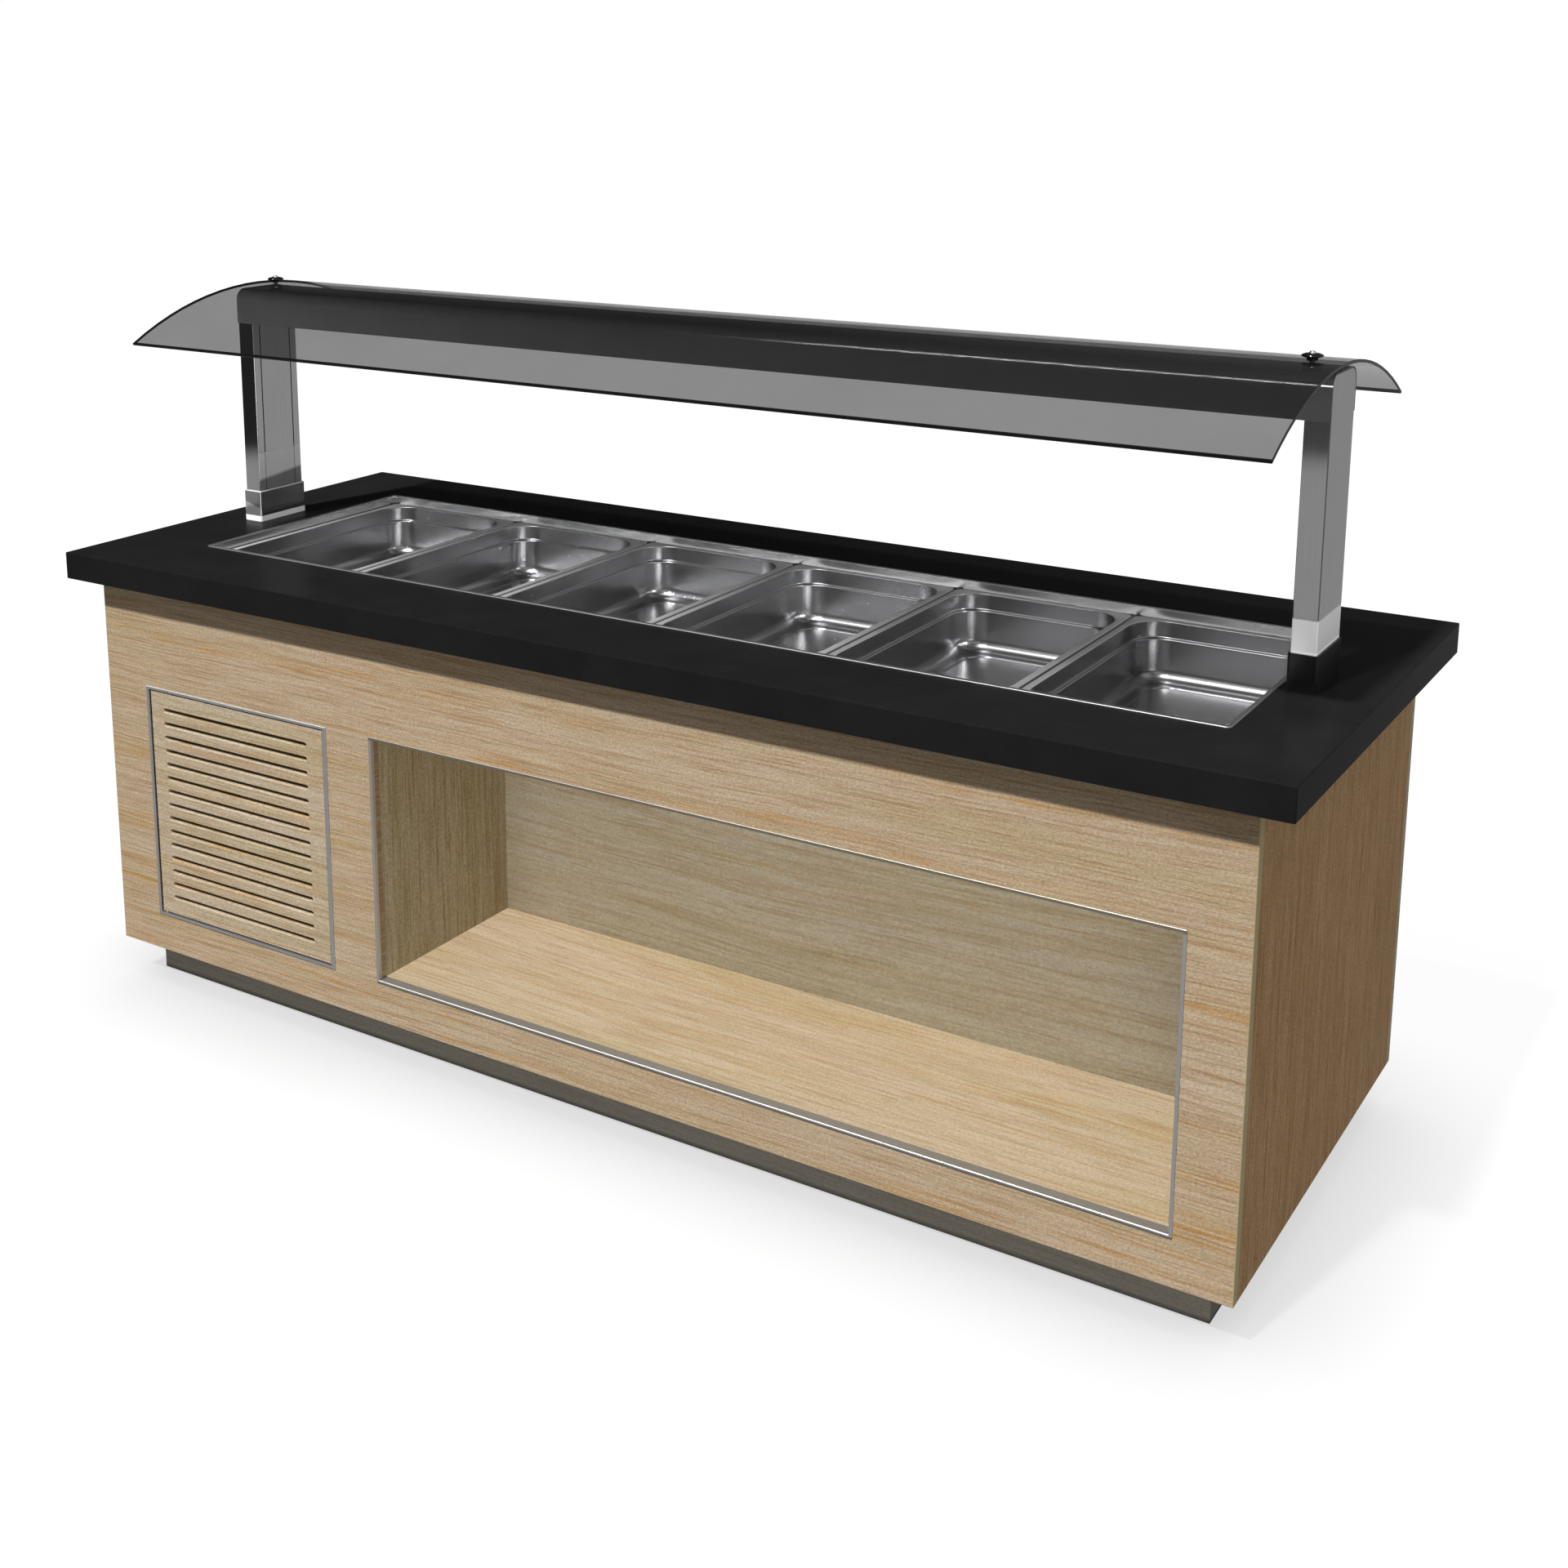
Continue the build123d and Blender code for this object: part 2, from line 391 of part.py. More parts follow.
for name, s in (("left", -1), ("right", 1)):
    x0, x1 = POST_X - POST_W / 2, POST_X + POST_W / 2
    a, b = (x0, x1) if s > 0 else (-x1, -x0)
    post = across(post_section(POST_D / 2, COUNTER_TOP, POST_TOP, POST_R), a, b)
    post = fillet([e for e in at_x(post, a) + at_x(post, b) if abs(e.center().Z - COUNTER_TOP) > 0.1], 1.8)
    post -= across(post_section(POST_D / 2 - POST_WALL, COUNTER_TOP + 10, POST_TOP - POST_WALL, POST_R - POST_WALL), a + POST_WALL, b - POST_WALL)
    # shallow seat for the wiring cover on the face towards the pans
    face_x = a if s > 0 else b
    post -= block(min(face_x, face_x + s * 1.3) - (1 if s > 0 else 0), max(face_x, face_x + s * 1.3) + (0 if s > 0 else 1), -42, 42, COUNTER_TOP + 4, BEAM_Z0 - 1)
    for x, y in BOLTS:
        if x * s > 0:
            post -= rod(x, y, COUNTER_TOP - 1, COUNTER_TOP + 11, 5.2)
    save(f"post_{name}", post)

covers = []
for s in (-1, 1):
    fx = s * (POST_X - POST_W / 2)
    strip = block(min(fx, fx + s * 1.3), max(fx, fx + s * 1.3), -40.5, 40.5, COUNTER_TOP + 5, BEAM_Z0 - 2)
    covers.append(strip)
save("post_wiring_covers", covers)

collar = rounded(-POST_X - 23, -POST_X + 23, -64, 64, COUNTER_TOP, COUNTER_TOP + COLLAR_H, 5.0)
collar = fillet(at_z(collar, COUNTER_TOP + COLLAR_H), 1.5)
collar -= block(-POST_X - POST_W / 2 - 0.2, -POST_X + POST_W / 2 + 0.2, -POST_D / 2 - 0.2, POST_D / 2 + 0.2, COUNTER_TOP - 1, COUNTER_TOP + COLLAR_H + 1)
save("post_collar", collar)

shoe = rounded(POST_X - 22, POST_X + 22, -63, 63, COUNTER_TOP, COUNTER_TOP + SHOE_H, 4.0)
shoe = fillet(at_z(shoe, COUNTER_TOP + SHOE_H), 1.0)
shoe -= block(POST_X - POST_W / 2 - 0.2, POST_X + POST_W / 2 + 0.2, -POST_D / 2 - 0.2, POST_D / 2 + 0.2, COUNTER_TOP - 1, COUNTER_TOP + SHOE_H + 1)
save("post_foot_cover", shoe)

bolts = []
for x, y in BOLTS:
    head = extrude(Pos(x, y, CAB_Z1 - 9.5) * RegularPolygon(9.8, 6), amount=6.5)
    bolts.append(head + rod(x, y, CAB_Z1 - 3.0, CAB_Z1, 14.0) + rod(x, y, CAB_Z1 - 4, COUNTER_TOP + 9.5, 5.0))
save("post_bolts", bolts)

ex = POST_X + POST_W / 2
beam = across(post_section(POST_D / 2 + BEAM_T + 0.2, BEAM_Z0, POST_TOP + BEAM_T, POST_R + BEAM_T), -ex, ex)
beam = fillet([e for e in at_z(beam, BEAM_Z0) if abs(e.center().X) < 1], 1.2)
beam -= across(post_section(POST_D / 2 + 0.2, BEAM_Z0 - 5, POST_TOP + 0.2, POST_R + 0.2), -ex - 1, ex + 1)
ix = POST_X - POST_W / 2 - 0.5
for sy in (-1, 1):
    beam += block(-ix, ix, min(sy * (POST_D / 2 + 1), sy * 44), max(sy * (POST_D / 2 + 1), sy * 44), BEAM_Z0 + 1.2, BEAM_Z0 + 3.2)
for s in (-1, 1):
    beam += extrude(Pos(s * SCREW_X, 0, POST_TOP - 8) * RegularPolygon(8, 6), amount=8.5)
    beam -= rod(s * SCREW_X, 0, POST_TOP - 20, POST_TOP + 10, 3.3)
save("beam_housing", beam)
save("lamp_diffuser", block(-ix + 1, ix - 1, -POST_D / 2, POST_D / 2, BEAM_Z0 + 3.2, BEAM_Z0 + 6.2))
led = block(-985, 985, -20, 20, POST_TOP - 9.8, POST_TOP + 0.2) - block(-986, 986, -14, 14, POST_TOP - 10, POST_TOP - 4)
for i in range(66):
    led += block(-975 + i * 30 - 2.5, -975 + i * 30 + 2.5, -2.5, 2.5, POST_TOP - 6, POST_TOP - 3.5)
save("led_strip", led)

ro, ri = GUARD_R, GUARD_R - GUARD_T
zc = GUARD_TOP - GUARD_R
ang = math.asin(GUARD_Y / GUARD_R)
po = [(-GUARD_Y, zc + ro * math.cos(ang)), (0, zc + ro), (GUARD_Y, zc + ro * math.cos(ang))]
pi_ = [(ri * math.sin(ang), zc + ri * math.cos(ang)), (0, zc + ri), (-ri * math.sin(ang), zc + ri * math.cos(ang))]
outline = [ThreePointArc(*po), Line(po[2], pi_[0]), ThreePointArc(*pi_), Line(pi_[2], po[0])]
guard = extrude(Plane.YZ.offset(-GUARD_X) * make_face(outline), amount=2 * GUARD_X)
guard = chamfer(guard.edges(), 0.7)
for s in (-1, 1):
    guard -= rod(s * SCREW_X, 0, GUARD_TOP - 20, GUARD_TOP + 20, 4.0)
save("guard_sheet", guard)

spacers = [rod(s * SCREW_X, 0, POST_TOP + BEAM_T, GUARD_TOP - GUARD_T - 0.15, 13.0) - rod(s * SCREW_X, 0, POST_TOP, GUARD_TOP, 4.0) for s in (-1, 1)]
save("guard_spacers", spacers)

k = GUARD_TOP + 0.25
knob_profile = [(0, POST_TOP - 14), (2.5, POST_TOP - 14), (3.0, POST_TOP - 13), (3.0, k), (8.0, k), (8.0, k + 3.0), (KNOB_D / 2 - 2.0, k + 5.0), (KNOB_D / 2, k + 6.5),
                (KNOB_D / 2 - 1.0, k + 8.2), (KNOB_D / 2 - 5.0, k + 9.8), (5.0, k + 11.0), (4.0, k + 13.0), (0, k + 13.6)]
for name, s in (("left", -1), ("right", 1)):
    knob = turned(knob_profile, s * SCREW_X, 0)
    # finger flutes around the rim of the head
    for i in range(12):
        a = math.radians(30 * i)
        knob -= rod(s * SCREW_X + (KNOB_D / 2 + 2.2) * math.cos(a), (KNOB_D / 2 + 2.2) * math.sin(a), k + 3.5, k + 12, 3.0)
    save(f"thumb_screw_{name}", knob)

# ---- machine compartment --------------------------------------------------------
BASE_Z = CAB_Z0 + BOARD
tray = block(-1065, -480, -372, 260, BASE_Z, BASE_Z + 2.5)
for y in (-372, 258):
    tray += block(-1065, -480, y, y + 2, BASE_Z, BASE_Z + 18)
TRAY_Z = BASE_Z + 2.5
save("unit_tray", tray)

# compressor: welded pot with seam, foot plate, terminal box and two pipe stubs
cz = TRAY_Z + 12.0
pot = turned([(0, cz + 4), (70, cz + 4), (86, cz + 14), (92, cz + 34), (93, cz + 96), (98, cz + 97), (98, cz + 103), (93, cz + 104), (92, cz + 150), (84, cz + 178), (66, cz + 196), (38, cz + 206), (0, cz + 209)], COMP_X, COMP_Y)
foot = extrude(Pos(COMP_X, COMP_Y, cz) * RectangleRounded(230, 150, 20), amount=4.5)
G = [(COMP_X + sx * 98, COMP_Y + sy * 58) for sx in (-1, 1) for sy in (-1, 1)]
for x, y in G:
    foot -= rod(x, y, cz - 1, cz + 6, 8.5)
box_t = fillet(block(COMP_X + 70, COMP_X + 130, COMP_Y - 34, COMP_Y + 34, cz + 50, cz + 125).edges().filter_by(Axis.X), 6)
stub_s = (COMP_X - 45.0, COMP_Y, cz + 235)
stub_d = (COMP_X + 45.0, COMP_Y, cz + 235)
comp = pot + foot + box_t + rod(stub_s[0], stub_s[1], cz + 190, stub_s[2], 7.0) + rod(stub_d[0], stub_d[1], cz + 190, stub_d[2], 6.0)
save("compressor", comp)
grommets = []
for x, y in G:
    g = turned([(4.2, TRAY_Z), (14, TRAY_Z), (14, cz - 0.1), (8.2, cz - 0.1), (8.2, cz + 4.8), (12, cz + 4.8), (12, cz + 10), (4.2, cz + 10)], x, y)
    grommets.append(g)
save("compressor_mounts", grommets)

# condenser: finned core with header plates and return bends
CX0, CX1, CY0, CY1, CZ0, CZ1 = -960.0, -620.0, -352.0, -292.0, TRAY_Z, 440.0
fins = []
n = 56
pitch = (CX1 - CX0 - 12) / n
comb = Rectangle(CX1 - CX0, 34)
comb = Pos((CX0 + CX1) / 2, (CY0 + CY1) / 2) * comb
teeth = [Pos(CX0 + 6 + (i + 0.5) * pitch, (CY0 + CY1) / 2) * Rectangle(1.6, CY1 - CY0) for i in range(n)]
sk = comb + teeth + [Pos(CX0 + 1, (CY0 + CY1) / 2) * Rectangle(2, CY1 - CY0), Pos(CX1 - 1, (CY0 + CY1) / 2) * Rectangle(2, CY1 - CY0)]
cond = extrude(Pos(0, 0, CZ0) * sk, amount=CZ1 - CZ0)
yb = (CY0 + CY1) / 2
for sx, xf in ((-1, CX0), (1, CX1)):
    for i in range(5):
        za = CZ0 + 45 + i * 58 + (0 if sx < 0 else 29)
        if sx > 0 and i == 4:
            continue
        bend = tube([(xf, yb, za), (xf + sx * 17, yb, za), (xf + sx * 17, yb, za + 29), (xf, yb, za + 29)], 4.5, 14.0)
        cond += bend
IN_Z, OUT_Z = CZ1 - 22, CZ0 + 24
cond += rod_x(yb, IN_Z, CX1, CX1 + 18, PIPE_R) + rod_x(yb, OUT_Z, CX1, CX1 + 18, PIPE_R)
save("condenser", cond)

# fan cowl behind the condenser, ring, motor on three arms, rotating blade
SH_Y = -262.0
cowl = block(CX0, CX1, CY1 + 0.2, SH_Y, CZ0, CZ1) - block(CX0 + 2, CX1 - 2, CY1 - 1, SH_Y - 2, CZ0 + 2, CZ1 - 2)
cowl += rod_y(FAN_X, FAN_Z, SH_Y - 1, SH_Y + 30, FAN_D / 2 + 8)
cowl -= rod_y(FAN_X, FAN_Z, SH_Y - 10, SH_Y + 40, FAN_D / 2 + 5)
save("fan_cowl", cowl)
MY0, MY1 = SH_Y + 36.0, SH_Y + 100.0
motor = rod_y(FAN_X, FAN_Z, MY0, MY1, 40.0)
motor = fillet(at_y(motor, MY1), 8.0)
motor = fillet(at_y(motor, MY0), 3.0)
for i in range(3):
    a = math.radians(90 + 120 * i)
    arm = block(FAN_X + 38, FAN_X + FAN_D / 2 + 20, MY0 + 8, MY0 + 11, FAN_Z - 6, FAN_Z + 6)
    arm += block(FAN_X + FAN_D / 2 + 17, FAN_X + FAN_D / 2 + 20, SH_Y, MY0 + 11, FAN_Z - 6, FAN_Z + 6)
    arm = Pos(FAN_X, 0, FAN_Z) * Rot(0, -math.degrees(a), 0) * Pos(-FAN_X, 0, -FAN_Z) * arm
    motor += arm
motor -= rod_y(FAN_X, FAN_Z, MY0 - 1, MY0 + 30, 4.05)
save("fan_motor", motor)
hub = rod_y(FAN_X, FAN_Z, SH_Y + 8, MY0 - 4, 26.0)
hub = fillet(at_y(hub, SH_Y + 8), 5.0)
fan = hub + rod_y(FAN_X, FAN_Z, MY0 - 6, MY0 + 26, 4.0)
blade_sk = Pos(0, 0) * (make_face([
    Line((20, -16), (FAN_D / 2 - 22, -34)), ThreePointArc((FAN_D / 2 - 22, -34), (FAN_D / 2 - 2, 4), (FAN_D / 2 - 20, 36)),
    Line((FAN_D / 2 - 20, 36), (20, 16)), Line((20, 16), (20, -16))]))
blade = extrude(blade_sk, amount=1.2, both=True)
blade = Rot(24, 0, 0) * blade
cyl = Pos(0, 0, 0) * Cylinder(FAN_D / 2 - 1.5, 60)
blade = blade & cyl
for i in range(5):
    fan += Pos(FAN_X, SH_Y + 20, FAN_Z) * Rot(0, 72 * i, 0) * Rot(90, 0, 0) * blade
save("fan_blade", fan)

# filter drier and refrigerant lines
DR = (-560.0, -225.0)
DZ0, DZ1 = 200.0, 330.0
drier = turned([(0, DZ0), (PIPE_R, DZ0), (PIPE_R, DZ0 + 12), (12, DZ0 + 26), (12, DZ1 - 26), (PIPE_R, DZ1 - 12), (PIPE_R, DZ1), (0, DZ1)], DR[0], DR[1])
save("filter_drier", drier)
XL = -1050.0
suction = tube([(COIL_OUT, COIL_Y, COIL_Z), (XL, COIL_Y, COIL_Z), (XL, COIL_Y, 400), (stub_s[0], COIL_Y, 400), (stub_s[0], COIL_Y, 380),
                (stub_s[0], COMP_Y, 380), stub_s], PIPE_R, 9.0)
discharge = tube([stub_d, (stub_d[0], COMP_Y, 480), (-578, COMP_Y, 480), (-578, yb, 480), (-578, yb, IN_Z), (CX1 + 18, yb, IN_Z)], PIPE_R, 14.0)
liquid_a = tube([(CX1 + 18, yb, OUT_Z), (DR[0], yb, OUT_Z), (DR[0], DR[1], OUT_Z), (DR[0], DR[1], DZ0)], PIPE_R, 14.0)
liquid_b = tube([(DR[0], DR[1], DZ1), (DR[0], DR[1], 590), (XL, DR[1], 590), (XL, DR[1], COIL_Z), (COIL_OUT, DR[1], COIL_Z)], PIPE_R, 14.0)
save("refrigerant_lines", [suction, discharge, liquid_a, liquid_b])

# ---- rear controls ---------------------------------------------------------------
PY0, PY1 = CAB_BACK, CAB_BACK + 2.5
plate = block(CTRL_X - 95, CTRL_X + 95, PY0, PY1, CTRL_Z - 45, CTRL_Z + 45)
plate = fillet(plate.edges().filter_by(Axis.Y), 6.0)
plate = chamfer(at_y(plate, PY1), 0.8)
casing = block(CTRL_X - 79, CTRL_X + 79, IN_B - 40, PY0 + 0.5, CTRL_Z - 34, CTRL_Z + 34) - block(CTRL_X - 77, CTRL_X + 77, IN_B - 38, PY0 + 0.5, CTRL_Z - 32, CTRL_Z + 32)
plate += casing
SW_X = (CTRL_X - 58.0, CTRL_X - 22.0)
SW_W, SW_H = 15.0, 26.0
SW_PIVOT_Y = PY1 - 2.0
SW_BACK = PY0 - 14.0                             # back of the switch housings
for x in SW_X:
    plate += block(x - SW_W / 2 - 2.6, x + SW_W / 2 + 2.6, SW_BACK, PY0 + 0.5, CTRL_Z - SW_H / 2 - 2.9, CTRL_Z + SW_H / 2 + 2.9)
    plate -= block(x - SW_W / 2 - 0.6, x + SW_W / 2 + 0.6, SW_BACK + 1.5, PY1 + 5, CTRL_Z - SW_H / 2 - 0.9, CTRL_Z + SW_H / 2 + 0.9)
    plate -= rod_x(SW_PIVOT_Y, CTRL_Z, x - SW_W / 2 - 2.0, x + SW_W / 2 + 2.0, 1.6)
TH_X = CTRL_X + 46.0
plate -= rod_y(TH_X, CTRL_Z, PY0 - 5, PY1 + 5, 4.1)
save("control_panel", plate)
for name, x in zip(("power", "light"), SW_X):
    prof = Plane.YZ.offset(x - SW_W / 2) * make_face(Polyline((-6, -8), (2.2, -SW_H / 2), (5.0, -SW_H / 2), (3.2, 0), (5.0, SW_H / 2), (2.2, SW_H / 2), (-6, 8), close=True))
    rocker = extrude(prof, amount=SW_W)
    rocker = chamfer([e for e in rocker.edges().filter_by(Axis.X) if abs(abs(e.center().Z) - SW_H / 2) < 0.1 and e.center().Y > 4], 1.0)
    rocker = Pos(0, SW_PIVOT_Y, CTRL_Z) * Rot(7, 0, 0) * rocker
    rocker += rod_x(SW_PIVOT_Y, CTRL_Z, x - SW_W / 2 - 1.6, x + SW_W / 2 + 1.6, 1.5)      # pivot pips
    save(f"rocker_switch_{name}", rocker)
kn = Pos(TH_X, PY1 + 0.4, CTRL_Z) * Rot(-90, 0, 0) * revolve(
    make_face(Plane.XZ * Polyline((0, 0), (20, 0), (20, 3), (15.5, 4.5), (14, 17), (12.5, 18.5), (0, 18.5), close=True)), axis=Axis.Z)
kn += rod_y(TH_X, CTRL_Z, PY0 - 6, PY1 + 1, 4.0)
kn -= Pos(TH_X, PY1 + 18.6, CTRL_Z + 7.5) * Box(1.6, 1.6, 12)
for i in range(18):
    a = math.radians(20 * i + 10)
    kn -= rod_y(TH_X + 16.2 * math.cos(a), CTRL_Z + 16.2 * math.sin(a), PY1 + 5.2, PY1 + 30, 1.6)
save("thermostat_knob", kn)

# cable gland at the foot of the service panel; the lead itself is not part of the model
gl = rod_y(GLAND_X, GLAND_Z, IN_B - 12, CAB_BACK + 1, 10.0)
nut_in = extrude(Plane.XZ.offset(-IN_B) * Pos(GLAND_X, GLAND_Z) * RegularPolygon(15, 6), amount=6)
nut_out = extrude(Plane.XZ.offset(-CAB_BACK - 7) * Pos(GLAND_X, GLAND_Z) * RegularPolygon(15, 6), amount=7)
dome = Pos(GLAND_X, CAB_BACK + 7, GLAND_Z) * Rot(-90, 0, 0) * revolve(
    make_face(Plane.XZ * Polyline((0, -1), (12.5, -1), (12.5, 8), (8.5, 14), (0, 14), close=True)), axis=Axis.Z)
gl = gl + nut_in + nut_out + dome
gl -= rod_y(GLAND_X, GLAND_Z, IN_B - 20, CAB_BACK + 40, 4.5)
save("cable_gland", gl)
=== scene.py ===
import bpy
import math
from mathutils import Matrix, Vector

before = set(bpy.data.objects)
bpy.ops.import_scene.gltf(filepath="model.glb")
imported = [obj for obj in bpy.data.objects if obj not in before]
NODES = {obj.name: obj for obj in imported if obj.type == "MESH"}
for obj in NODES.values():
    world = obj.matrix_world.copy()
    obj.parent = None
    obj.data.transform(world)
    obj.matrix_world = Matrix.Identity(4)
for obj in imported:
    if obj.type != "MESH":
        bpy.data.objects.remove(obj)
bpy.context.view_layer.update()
scene = bpy.context.scene


# ---------------------------------------------------------------- node helpers
class Graph:
    """Short names for building the nodes of one material, or of the world."""

    def __init__(self, name, tree=None):
        if tree is not None:
            self.nt = tree
            self.nt.nodes.clear()
            return
        self.mat = bpy.data.materials.new(name)
        self.mat.use_nodes = True
        self.nt = self.mat.node_tree
        self.nt.nodes.clear()
        self.out = self.n("ShaderNodeOutputMaterial")
        self.bsdf = self.n("ShaderNodeBsdfPrincipled")
        self.nt.links.new(self.bsdf.outputs[0], self.out.inputs[0])

    def n(self, kind):
        return self.nt.nodes.new(kind)

    def put(self, socket, value):
        if isinstance(value, bpy.types.NodeSocket):
            self.nt.links.new(value, socket)
        else:
            socket.default_value = value

    def set(self, **kw):
        for key, value in kw.items():
            if isinstance(value, tuple) and len(value) == 3:
                value = (*value, 1.0)
            self.put(self.bsdf.inputs[key.replace("_", " ")], value)
        return self

    def coord(self, which="Object"):
        t = self.n("ShaderNodeTexCoord")
        return t.outputs[which]

    def split(self, vec):
        s = self.n("ShaderNodeSeparateXYZ")
        self.put(s.inputs[0], vec)
        return list(s.outputs)

    def join(self, x, y, z):
        c = self.n("ShaderNodeCombineXYZ")
        for i, v in enumerate((x, y, z)):
            self.put(c.inputs[i], v)
        return c.outputs[0]

    def math(self, op, a, b=0.0, clamp=False):
        m = self.n("ShaderNodeMath")
        m.operation = op
        m.use_clamp = clamp
        self.put(m.inputs[0], a)
        self.put(m.inputs[1], b)
        return m.outputs[0]

    def times(self, a, b):
        return self.math("MULTIPLY", a, b)

    def plus(self, a, b):
        return self.math("ADD", a, b)

    def noise(self, vec, scale=1.0, detail=2.0, rough=0.5, distortion=0.0):
        t = self.n("ShaderNodeTexNoise")
        self.put(t.inputs["Vector"], vec)
        t.inputs["Scale"].default_value = scale
        t.inputs["Detail"].default_value = detail
        t.inputs["Roughness"].default_value = rough
        t.inputs["Distortion"].default_value = distortion
        return t.outputs[0]

    def voronoi(self, vec, scale, feature="F1", out="Distance"):
        t = self.n("ShaderNodeTexVoronoi")
        t.feature = feature
        self.put(t.inputs["Vector"], vec)
        t.inputs["Scale"].default_value = scale
        return t.outputs[out]

    def ramp(self, fac, stops, mode="LINEAR"):
        r = self.n("ShaderNodeValToRGB")
        r.color_ramp.interpolation = mode
        els = r.color_ramp.elements
        while len(els) > len(stops):
            els.remove(els[-1])
        while len(els) < len(stops):
            els.new(0.5)
        for e, (pos, col) in zip(els, stops):
            e.position = pos
            e.color = (*col, 1.0) if isinstance(col, tuple) else (col, col, col, 1.0)
        self.put(r.inputs[0], fac)
        return r.outputs[0]

    def span(self, fac, a, b, lo=0.0, hi=1.0):
        m = self.n("ShaderNodeMapRange")
        m.clamp = True
        self.put(m.inputs[0], fac)
        for i, v in enumerate((a, b, lo, hi)):
            m.inputs[i + 1].default_value = v
        return m.outputs[0]

    def mix(self, fac, a, b, mode="MIX"):
        m = self.n("ShaderNodeMix")
        m.data_type = "RGBA"
        m.blend_type = mode
        ins = [s for s in m.inputs if s.enabled]
        self.put(ins[0], fac)
        for s, v in ((ins[1], a), (ins[2], b)):
            self.put(s, (*v, 1.0) if isinstance(v, tuple) and len(v) == 3 else v)
        return [s for s in m.outputs if s.enabled][0]

    def blend(self, fac, a, b):
        """Straight mix of two numbers."""
        m = self.n("ShaderNodeMix")
        m.data_type = "FLOAT"
        ins = [s for s in m.inputs if s.enabled]
        for s, v in zip(ins, (fac, a, b)):
            self.put(s, v)
        return [s for s in m.outputs if s.enabled][0]

    def bump(self, height, strength, distance):
        b = self.n("ShaderNodeBump")
        b.inputs["Strength"].default_value = strength
        b.inputs["Distance"].default_value = distance
        self.put(b.inputs["Height"], height)
        self.put(self.bsdf.inputs["Normal"], b.outputs[0])


def dress(mat, *names):
    for n in names:
        o = NODES[n]
        if not o.material_slots:
            o.data.materials.append(None)
        for s in o.material_slots:
            s.link = "OBJECT"
            s.material = mat


# ---------------------------------------------------------------- wood laminate
def wood(name, along, across, tones, gold, dark, light, seed, drift=0.040, lines=1.0, golden=1.0, speck=1.0,
         emboss=1.0, fine=1.0, rough=0.50, spec=0.20, edge=None):
    """Oak-grain laminate. along and across are the axis indices of the grain. tones are three
    ground colours; gold, dark and light are the colours of the drawn lines."""
    g = Graph(name)
    p = g.split(g.coord())
    third = 3 - along - across
    u, v, w = p[along], p[across], g.plus(p[third], seed)
    slow = g.noise(g.join(g.times(u, 0.85), g.times(v, 2.2), w), 1.0, 2.0, 0.5)
    v = g.plus(v, g.times(g.math("SUBTRACT", slow, 0.5), drift))
    wave = g.noise(g.join(g.times(u, 9.0), g.times(v, 22.0), w), 1.0, 2.0, 0.5)
    v = g.plus(v, g.times(g.math("SUBTRACT", wave, 0.5), 0.0060))

    def layer(su, sv, detail, r, shift=0.0):
        return g.noise(g.join(g.times(u, su), g.times(v, sv * fine), g.plus(w, shift)), 1.0, detail, r)

    ground = layer(1.3, 17.0, 3.0, 0.55)
    cluster = layer(1.0, 25.0, 3.0, 0.55, 2.3)
    grey = layer(2.2, 60.0, 3.0, 0.6, 4.1)
    thread = layer(4.6, 250.0, 2.0, 0.5, 6.7)
    line = layer(6.2, 300.0, 2.0, 0.55)
    hair = layer(34.0, 480.0, 2.0, 0.6, 8.9)
    grain = layer(230.0, 360.0, 1.0, 0.5)
    base = g.ramp(ground, [(0.36, tones[0]), (0.50, tones[1]), (0.64, tones[2])])
    base = g.mix(g.span(grey, 0.40, 0.62, 0.0, 0.40), base, light)
    gather = g.span(cluster, 0.46, 0.60, 0.10, 1.0)
    base = g.mix(g.times(g.span(thread, 0.47, 0.66, 0.0, 0.78 * golden), gather), base, gold)
    base = g.mix(g.span(line, 0.50, 0.70, 0.0, 0.72 * lines), base, dark)
    base = g.mix(g.span(line, 0.47, 0.30, 0.0, 0.55 * lines), base, light)
    base = g.mix(g.span(hair, 0.54, 0.74, 0.0, 0.60 * lines), base, dark)
    mottle = g.span(grain, 0.20, 0.80, 1.0 - 0.26 * speck, 1.0 + 0.26 * speck)
    base = g.mix(1.0, base, mottle, "MULTIPLY")
    if edge:
        base = edge(g, p, base)
    g.set(Base_Color=base, Roughness=g.span(g.plus(hair, g.times(line, 0.5)), 0.45, 1.0, rough - 0.06, rough + 0.12),
          Specular_IOR_Level=spec)
    height = g.plus(g.times(line, -0.6), g.plus(g.times(hair, -0.5), g.times(grain, -0.35)))
    g.bump(height, 0.20 * emboss, 0.0010)
    return g.mat


def oak(name, along, across, mean, seed, **kw):
    """Oak laminate round a mean colour; the lines keep the same relation to it."""
    def rel(*f):
        return tuple(c * k for c, k in zip(mean, f))
    return wood(name, along, across, [rel(1.06, 1.09, 1.16), rel(1.02, 1.03, 1.03), rel(0.97, 1.00, 0.92)],
                gold=rel(1.02, 0.73, 0.36), dark=rel(0.70, 0.56, 0.38), light=rel(1.24, 1.32, 1.46), seed=seed, **kw)


def edge_band_highlight(g, p, base):
    """A paler edge band shows as a thin line round the outside of the front panel; its light colour is partly the
    band's own tone and partly a painted highlight along the edges.
    """
    side = g.span(g.math("ABSOLUTE", p[0]), 1.1084, 1.1090, 0.0, 1.0)
    foot = g.span(p[2], 0.0762, 0.0756, 0.0, 1.0)
    return g.mix(g.times(g.math("MAXIMUM", side, foot), 0.75), base, (0.44, 0.365, 0.185))


